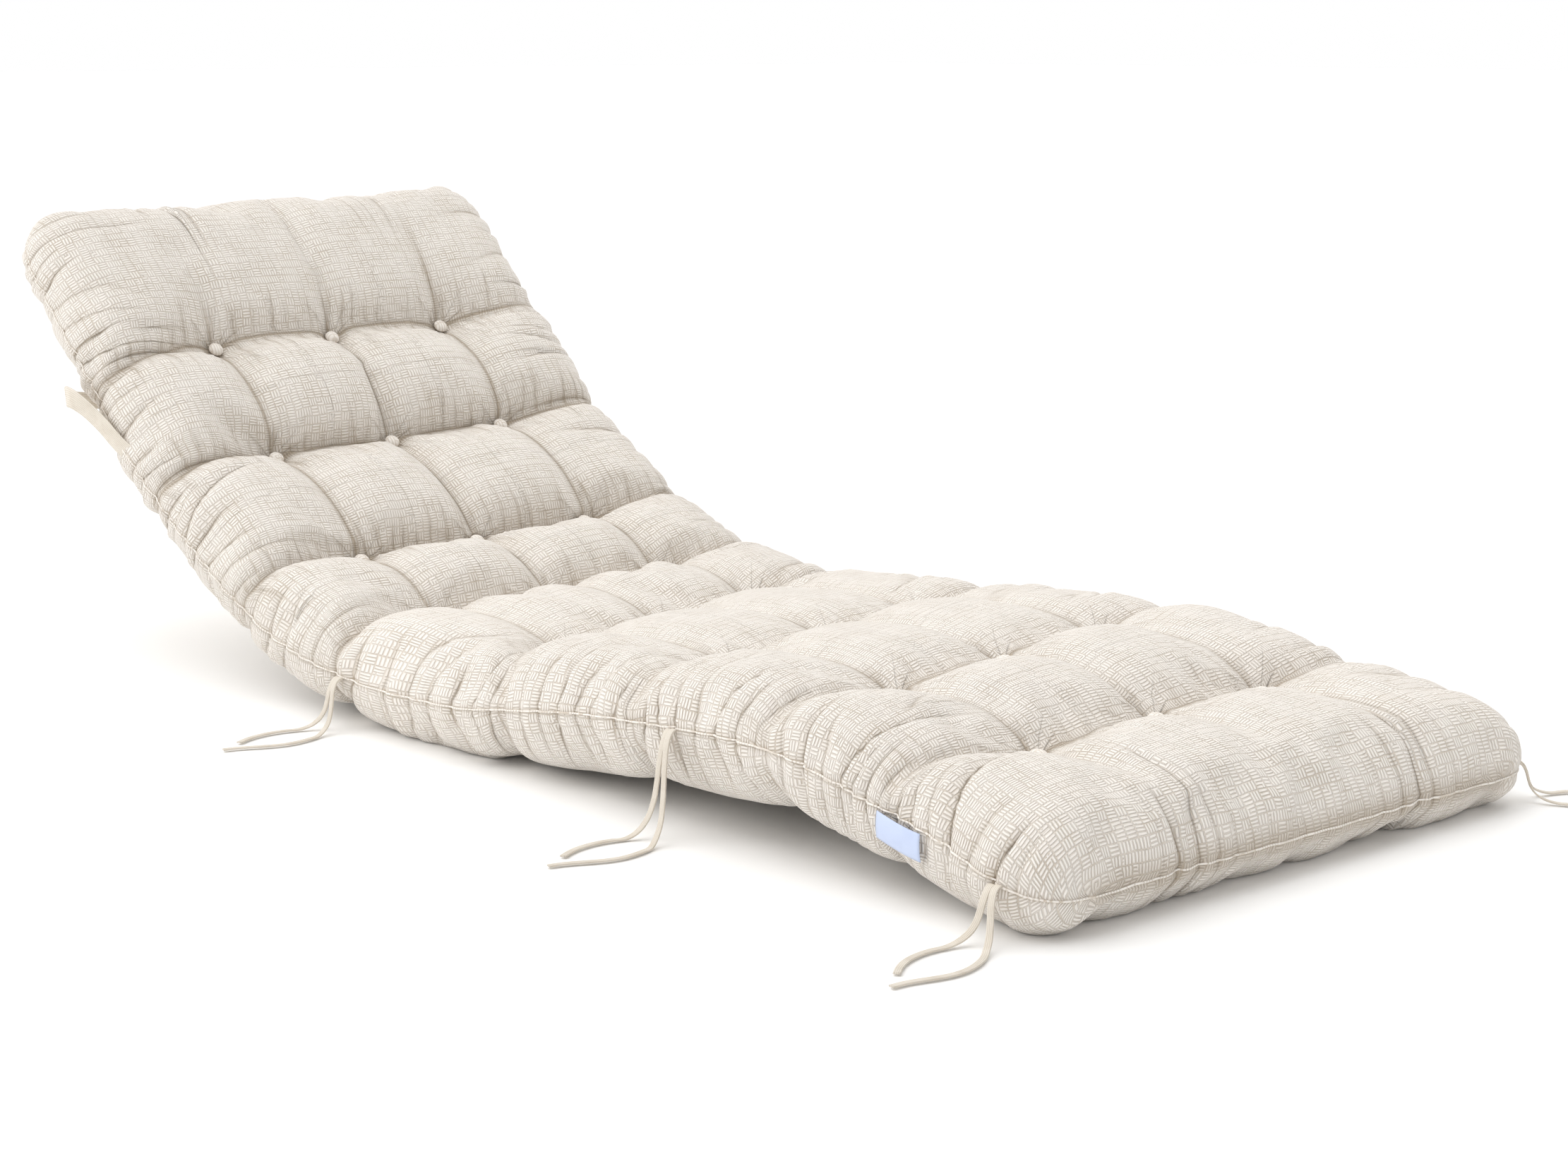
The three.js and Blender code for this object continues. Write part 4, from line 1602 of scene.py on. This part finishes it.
@dataclass
class CoveredButtons:
    """The 24 domed buttons, one in each tuft."""

    radius: float = 8.0
    rise: float = 5.2
    rim: float = 2.2
    sink: float = 5.4
    roundness: float = 0.85
    reach: float = 90.0
    sides: int = 24

    def dome(self) -> bpy.types.Object:
        """Turns one button as a closed dome on its own foot.

        Returns:
            The pattern, which is removed once the buttons are set.
        """
        profile = [(0.05, -self.rim), (0.72, -self.rim), (0.95, -0.55 * self.rim), (1.0, 0.0)]
        for angle in np.linspace(12, 80, 7):
            lift = math.sin(math.radians(angle))
            profile.append((math.cos(math.radians(angle)) ** self.roundness, lift * self.rise))
        rings = []
        for r, high in profile:
            rings.append([
                (self.radius * r * math.cos(a), self.radius * r * math.sin(a), high)
                for a in np.linspace(0, 2 * math.pi, self.sides, endpoint=False)
            ])
        points = [p for ring in rings for p in ring]
        foot, crown = len(points), len(points) + 1
        points += [(0, 0, -self.rim), (0, 0, self.rise)]
        faces = []
        for k in range(len(rings) - 1):
            for j in range(self.sides):
                n = (j + 1) % self.sides
                a, b = k * self.sides, (k + 1) * self.sides
                faces.append((a + j, a + n, b + n, b + j))
        last = (len(rings) - 1) * self.sides
        for j in range(self.sides):
            n = (j + 1) % self.sides
            faces.append((foot, n, j))
            faces.append((crown, last + j, last + n))
        return mesh_piece("button_pattern", np.array(points) * MM, faces)

    def sites(self, pad: bpy.types.Object, tufts: np.ndarray) -> bpy.types.Object:
        """Marks the bottom of every tuft with a point that knows the way out of the pad.

        Args:
            pad: The finished pad.
            tufts: The place and millimetres across of every tuft.

        Returns:
            A piece of bare points.
        """
        tree = skin_tree(pad)
        spots, ways = [], []
        for row, across in tufts:
            place, x = np.array([row]), np.array([across])
            _, _, outward = FORM.frame_at(place)
            way = Vector((0.0, outward[0, 0], outward[0, 1]))
            high = Vector(FORM.point(x, place, np.array([self.reach]))[0])
            hit = tree.ray_cast(high, -way)[0]
            spots.append(hit + way * (self.sink * MM))
            ways.append(way)
        marks = mesh_piece("button_marks", np.array(spots), [])
        put_vectors(marks.data, "way", np.array(ways))
        return marks

    def tree(self) -> bpy.types.GeometryNodeTree:
        """Builds the node tree that sets a button on every mark.

        Returns:
            The tree, with the marks, the button, its size and its cloth as inputs.
        """
        tree, board = node_group(
            "GeometryNodeTree",
            "Set buttons",
            {
                "Marks": ("NodeSocketGeometry", None),
                "Button": ("NodeSocketObject", None),
                "Size": ("NodeSocketFloat", None),
                "Cloth": ("NodeSocketMaterial", None),
            },
            {"Buttons": "NodeSocketGeometry"},
        )
        given = board.add("NodeGroupInput").outputs
        pattern = board.add("GeometryNodeObjectInfo", {"Object": given["Button"]})
        way = board.add("GeometryNodeInputNamedAttribute", {"Name": "way"}, data_type="FLOAT_VECTOR")
        lean = {"Vector": way.outputs["Attribute"]}
        turn = board.add("FunctionNodeAlignRotationToVector", lean, axis="Z")
        setting = board.add("GeometryNodeInstanceOnPoints", {
            "Points": given["Marks"],
            "Instance": pattern.outputs["Geometry"],
            "Rotation": turn.outputs[0],
            "Scale": given["Size"],
        })
        real = board.add("GeometryNodeRealizeInstances", {0: setting.outputs[0]})
        dressed = board.add("GeometryNodeSetMaterial", {0: real.outputs[0], "Material": given["Cloth"]})
        board.add("NodeGroupOutput", {0: dressed.outputs[0]})
        return tree

    def build(
        self, pad: FilledPad, skin: bpy.types.Object, cloth: bpy.types.Material
    ) -> bpy.types.Object:
        """Makes the buttons.

        Args:
            pad: The pad's sizes.
            skin: The finished pad.
            cloth: The cloth that covers the buttons.

        Returns:
            The finished piece.
        """
        tufts = pad.tufts()
        pattern = self.dome()
        buttons = self.sites(skin, tufts)
        buttons.name = "covered_buttons"
        run_nodes(buttons, self.tree(), {"Button": pattern, "Size": 1.0, "Cloth": cloth})
        bpy.data.objects.remove(pattern)
        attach(buttons, "root")
        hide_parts(*[f"button_r{int(row)}_c{k % 3 + 1}" for k, (row, _) in enumerate(tufts)])
        log.info("buttons: %d", len(tufts))
        return buttons


@dataclass
class SideSeam:
    """The thin lip of the seam that joins the top to the underside all round."""

    radius: float = 0.9
    step: float = 6.0
    proud: float = 0.2

    def path(self, pad: bpy.types.Object) -> np.ndarray:
        """Walks once round the seam of the finished pad.

        Args:
            pad: The finished pad.

        Returns:
            The points of the walk in metres.
        """
        mesh = pad.data
        side = attribute(mesh, "side")
        on = set(np.nonzero(np.abs(side) < 1e-4)[0].tolist())
        edges = np.empty(len(mesh.edges) * 2, int)
        mesh.edges.foreach_get("vertices", edges)
        ways: dict = {}
        for a, b in edges.reshape(-1, 2).tolist():
            if a in on and b in on:
                ways.setdefault(a, []).append(b)
                ways.setdefault(b, []).append(a)
        ways = {k: v for k, v in ways.items() if len(v) >= 2}
        start = next(iter(ways))
        walk, before, now = [start], None, start
        while True:
            options = [w for w in ways[now] if w != before and w in ways]
            step = next((w for w in options if w not in walk[-3:]), None)
            if step is None or step == start or len(walk) > len(ways):
                break
            walk.append(step)
            before, now = now, step
        return places(mesh)[walk] + outward_normals(mesh)[walk] * self.proud * MM

    def tree(self) -> bpy.types.GeometryNodeTree:
        """Builds the node tree that sweeps a thin round lip along a closed line.

        Returns:
            The tree, with the line, the radius, the step and the cloth as inputs.
        """
        tree, board = node_group(
            "GeometryNodeTree",
            "Seam lip",
            {
                "Line": ("NodeSocketGeometry", None),
                "Radius": ("NodeSocketFloat", None),
                "Step": ("NodeSocketFloat", None),
                "Cloth": ("NodeSocketMaterial", None),
            },
            {"Lip": "NodeSocketGeometry"},
        )
        given = board.add("NodeGroupInput").outputs
        line = board.add("GeometryNodeMeshToCurve", {0: given["Line"]})
        step = {0: line.outputs[0], "Length": given["Step"]}
        even = board.add("GeometryNodeResampleCurve", step, mode="LENGTH")
        size = {"Resolution": 6, "Radius": given["Radius"]}
        ring = board.add("GeometryNodeCurvePrimitiveCircle", size)
        lip = board.add("GeometryNodeCurveToMesh", {0: even.outputs[0], 1: ring.outputs[0]})
        real = board.add("GeometryNodeRealizeInstances", {0: lip.outputs[0]})
        dressed = board.add("GeometryNodeSetMaterial", {0: real.outputs[0], "Material": given["Cloth"]})
        board.add("NodeGroupOutput", {0: dressed.outputs[0]})
        return tree

    def build(self, pad: bpy.types.Object, cloth: bpy.types.Material) -> bpy.types.Object:
        """Makes the seam's lip.

        Args:
            pad: The finished pad.
            cloth: The lip's cloth.

        Returns:
            The finished piece.
        """
        line = self.path(pad)
        mesh = bpy.data.meshes.new("side_seam")
        count = len(line)
        mesh.from_pydata([tuple(p) for p in line], [(k, (k + 1) % count) for k in range(count)], [])
        seam = bpy.data.objects.new("side_seam", mesh)
        bpy.context.scene.collection.objects.link(seam)
        sizes = {"Radius": self.radius * MM, "Step": self.step * MM, "Cloth": cloth}
        run_nodes(seam, self.tree(), sizes)
        rest_on_surface(seam.data)
        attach(seam, "root")
        log.info("seam: %d points round, %d faces", count, len(seam.data.polygons))
        return seam


def ribbon(
    name: str, path: np.ndarray, across: np.ndarray, width: float, thick: float
) -> bpy.types.Object:
    """Sweeps a flat band with rounded edges along a path.

    Args:
        name: The piece's name.
        path: Points of the band's middle in metres.
        across: For each point, the direction of the band's width.
        width: The band's width in metres.
        thick: The band's thickness in metres.

    Returns:
        The band, with a cloth map of metres across and along.
    """
    tangent = np.gradient(path, axis=0)
    tangent /= np.linalg.norm(tangent, axis=1, keepdims=True)
    across = across - tangent * (across * tangent).sum(1, keepdims=True)
    across /= np.linalg.norm(across, axis=1, keepdims=True)
    through = np.cross(tangent, across)
    w, t = width / 2, thick / 2
    lower = [(-1, 0), (-0.93, -0.8), (-0.75, -1), (0, -1), (0.75, -1), (0.93, -0.8)]
    section = [(k * a * w, k * b * t) for k in (1, -1) for a, b in lower]
    rings = [path + across * a + through * b for a, b in section]
    points = np.stack(rings, 1)
    n, m = points.shape[:2]
    number = np.arange(n * m).reshape(n, m)
    faces, maps = [], []
    length = run_length(path)
    for k in range(n - 1):
        for j in range(m):
            i = (j + 1) % m
            faces.append((number[k, j], number[k, i], number[k + 1, i], number[k + 1, j]))
            a, b = section[j][0], section[i][0]
            maps += [(a, length[k]), (b, length[k]), (b, length[k + 1]), (a, length[k + 1])]
    faces += [tuple(number[0, ::-1]), tuple(number[-1])]
    maps += [(section[j][0], 0.0) for j in reversed(range(m))]
    maps += [(section[j][0], length[-1]) for j in range(m)]
    piece = mesh_piece(name, points.reshape(-1, 3), faces)
    put_map(piece.data, "along", np.array(maps))
    return piece


@dataclass(frozen=True)
class Tie:
    """One tie: where it leaves the side seam and the compass heading that it takes."""

    name: str
    side: int
    place: float
    heading: float


class Strand(Enum):
    """The two strands of a tie: outward, sideways (mm), and up as a share of the seam's height."""

    LONG = (
        (0.95, 3.2, 1.0), (5, 3.2, 0.98), (9, 3.5, 0.9), (12, 4.2, 0.74), (14, 5, 0.56), (16, 6, 0.38),
        (20, 8, 0.2), (27, 11, 0.08), (37, 15, 0), (49, 19, 0), (61, 21, 0), (73, 21, 0), (85, 18, 0),
        (96, 13, 0), (107, 7, 0), (118, 2, 0), (129, -1, 0),
    )
    SHORT = (
        (0.95, -3.2, 0.99), (4.5, -3.2, 0.96), (8, -3.6, 0.86), (10.5, -4.6, 0.7), (12, -6, 0.52),
        (14, -8, 0.34), (18, -11, 0.18), (25, -15, 0.06), (35, -19, 0), (47, -23, 0), (59, -25, 0),
        (71, -25, 0), (83, -23, 0), (94, -19, 0), (104, -14, 0),
    )


@dataclass
class TapeTies:
    """The six tape ties, each with two free strands that lie on the surface."""

    width: float = 6.0
    thickness: float = 1.5
    rest: float = 2.4
    steps: int = 72
    ties: tuple = (
        Tie("left_1", -1, 4.22, 180),
        Tie("left_2", -1, 6.3, 180),
        Tie("left_3", -1, 8.69, 190),
        Tie("right_1", 1, 4.22, 0),
        Tie("right_2", 1, 6.3, 0),
        Tie("right_3", 1, 8.871, -43),
    )

    def route(self, tie: Tie, strand: Strand) -> np.ndarray:
        """Lays out one strand's middle line in metres.

        Args:
            tie: The tie.
            strand: Which of its strands.

        Returns:
            The points of the line.
        """
        place = np.array([tie.place])
        x = tie.side * FORM.seam(np.array([tie.side]), place)
        seam = FORM.point(x, place, FORM.value(place, "seam"))[0] / MM
        local = np.array(strand.value, float)
        turn = math.radians(tie.heading)
        out = np.array([math.cos(turn), math.sin(turn)])
        left = np.array([-out[1], out[0]])
        flat = seam[:2] + local[:, :1] * out + local[:, 1:2] * left
        high = self.rest + (seam[2] - self.rest) * local[:, 2]
        points = np.column_stack([flat, high]) * MM
        return spline(points, np.linspace(0, 1, self.steps))

    def strand(self, tie: Tie, strand: Strand, cloth: bpy.types.Material) -> None:
        """Args:
            tie: The tie.
            strand: Which of its strands.
            cloth: The tape's cloth.
        """
        path = self.route(tie, strand)
        turn = math.radians(tie.heading)
        left = np.array([-math.sin(turn), math.cos(turn), 0.0])
        across = np.tile(left, (len(path), 1))
        name = f"tie_{tie.name}_{strand.name.lower()}"
        tape = ribbon(name.replace("tie", "tape"), path, across, self.width * MM, self.thickness * MM)
        rest_on_surface(tape.data)
        tape.data.materials.append(cloth)
        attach(tape, "root")
        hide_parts(name)

    def build(self, cloth: bpy.types.Material) -> None:
        """Makes every strand of every tie.

        Args:
            cloth: The tape's cloth.
        """
        for tie in self.ties:
            for strand in Strand:
                self.strand(tie, strand, cloth)


@dataclass
class BackStrap:
    """The ribbed strap that runs from side seam to side seam behind the back."""

    place: float = 1.55
    width: float = 22.0
    thickness: float = 1.8
    steps: int = 150
    half: tuple = (
        (294, -30, -3, 90),
        (301, -8, -1, 90),
        (305, 18, 2, 90),
        (311, 43, 5, 86),
        (316, 62, 10, 70),
        (314, 78, 22, 50),
        (300, 92, 42, 25),
        (268, 104, 64, 8),
        (200, 112, 80, 0),
        (100, 116, 88, 0),
        (0, 117, 91, 0),
    )

    def build(self, cloth: bpy.types.Material) -> bpy.types.Object:
        """Makes the strap.

        Args:
            cloth: The strap's webbing.

        Returns:
            The finished piece.
        """
        origin, headward, outward = (v[0] for v in FORM.frame_at(np.array([self.place])))
        half = np.array(self.half, float)
        mirrored = half[:-1][::-1] * np.array([-1, 1, 1, 1])
        sections = np.vstack([half, mirrored])
        at = spline(sections, np.linspace(0, 1, self.steps))
        yz = origin + at[:, 1:2] * headward - at[:, 2:3] * outward
        path = np.column_stack([-at[:, 0], yz[:, 0] + FORM.shift, yz[:, 1]]) * MM
        turn = np.radians(at[:, 3])
        tilt = np.cos(turn)[:, None] * headward + np.sin(turn)[:, None] * outward
        across = np.column_stack([np.zeros(len(tilt)), tilt])
        strap = ribbon("strap", path, across, self.width * MM, self.thickness * MM)
        strap.data.materials.append(cloth)
        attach(strap, "root")
        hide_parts("back_strap")
        log.info("strap: %.0f mm", run_length(path)[-1] / MM)
        return strap


@dataclass
class SidePatch:
    """The small bare patch that is caught in the left side seam."""

    place: float = 7.97
    length: float = 58.0
    drop: float = 31.0
    start: float = 1.0
    outside: float = 10.0
    proud: float = 0.8
    thickness: float = 0.6
    cells: tuple = (14, 10)

    def smoothed(self, spots: np.ndarray, way: np.ndarray) -> np.ndarray:
        """Lays a smooth sheet over spots on the creased skin.

        Args:
            spots: Rows of places on the skin.
            way: Where the skin faces, on average.

        Returns:
            The places of the sheet, in the same order.
        """
        n, m = self.cells
        along, down = np.meshgrid(np.linspace(-1, 1, n + 1), np.linspace(0, 1, m + 1))
        along, down = along.ravel(), down.ravel()
        terms = np.column_stack([along ** 0, along, down, along * down, along ** 2, down ** 2])
        sheet = terms @ np.linalg.lstsq(terms, spots, rcond=None)[0]
        way = way / np.linalg.norm(way)
        crest = np.max((spots - sheet) @ way)
        return sheet + way * (crest + self.proud * MM)

    def build(self, pad: bpy.types.Object, cloth: bpy.types.Material) -> bpy.types.Object:
        """Makes the patch.

        Args:
            pad: The finished pad that it lies on.
            cloth: The patch's cloth.

        Returns:
            The finished piece.
        """
        skin = skin_tree(pad)
        n, m = self.cells
        spots, ways = [], []
        for j in range(m + 1):
            for i in range(n + 1):
                place = np.array([self.place + (i / n - 0.5) * self.length / FORM.end_panel])
                drop = self.start + self.drop * j / m
                x = -FORM.half(np.array([-1.0]), place) - self.outside
                rough = Vector(FORM.point(x, place, FORM.value(place, "seam") - drop)[0])
                hit, way, _, _ = skin.find_nearest(rough)
                spots.append(hit)
                ways.append(way)
        spots = self.smoothed(np.array(spots), np.mean(np.array(ways), axis=0))
        faces, maps = [], []
        for j in range(m):
            for i in range(n):
                a = j * (n + 1) + i
                faces.append((a, a + n + 1, a + n + 2, a + 1))
                for di, dj in ((0, 0), (0, 1), (1, 1), (1, 0)):
                    maps.append(((i + di) * self.length / n * MM, (j + dj) * self.drop / m * MM))
        patch = mesh_piece("patch", spots, faces)
        put_map(patch.data, "along", np.array(maps))
        if patch.data.polygons[0].normal.x > 0:
            patch.data.flip_normals()
        shell = patch.modifiers.new("cloth", "SOLIDIFY")
        shell.thickness, shell.offset = self.thickness * MM, -1.0
        finished_mesh(patch)
        patch.data.shade_smooth()
        patch.data.materials.append(cloth)
        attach(patch, "root")
        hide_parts("side_patch")
        log.info("patch: %d faces", len(patch.data.polygons))
        return patch


def main() -> None:
    """Builds the cushion piece by piece."""
    logging.basicConfig(level=logging.INFO, format="%(name)s: %(message)s")
    Studio().build()
    finishes = Finishes()
    TapeTies().build(finishes.tape)
    filled = FilledPad()
    pad = filled.build(finishes.pad)
    CoveredButtons().build(filled, pad, finishes.button)
    SideSeam().build(pad, finishes.button)
    BackStrap().build(finishes.strap)
    SidePatch().build(pad, finishes.patch)


if __name__ == "__main__":
    main()
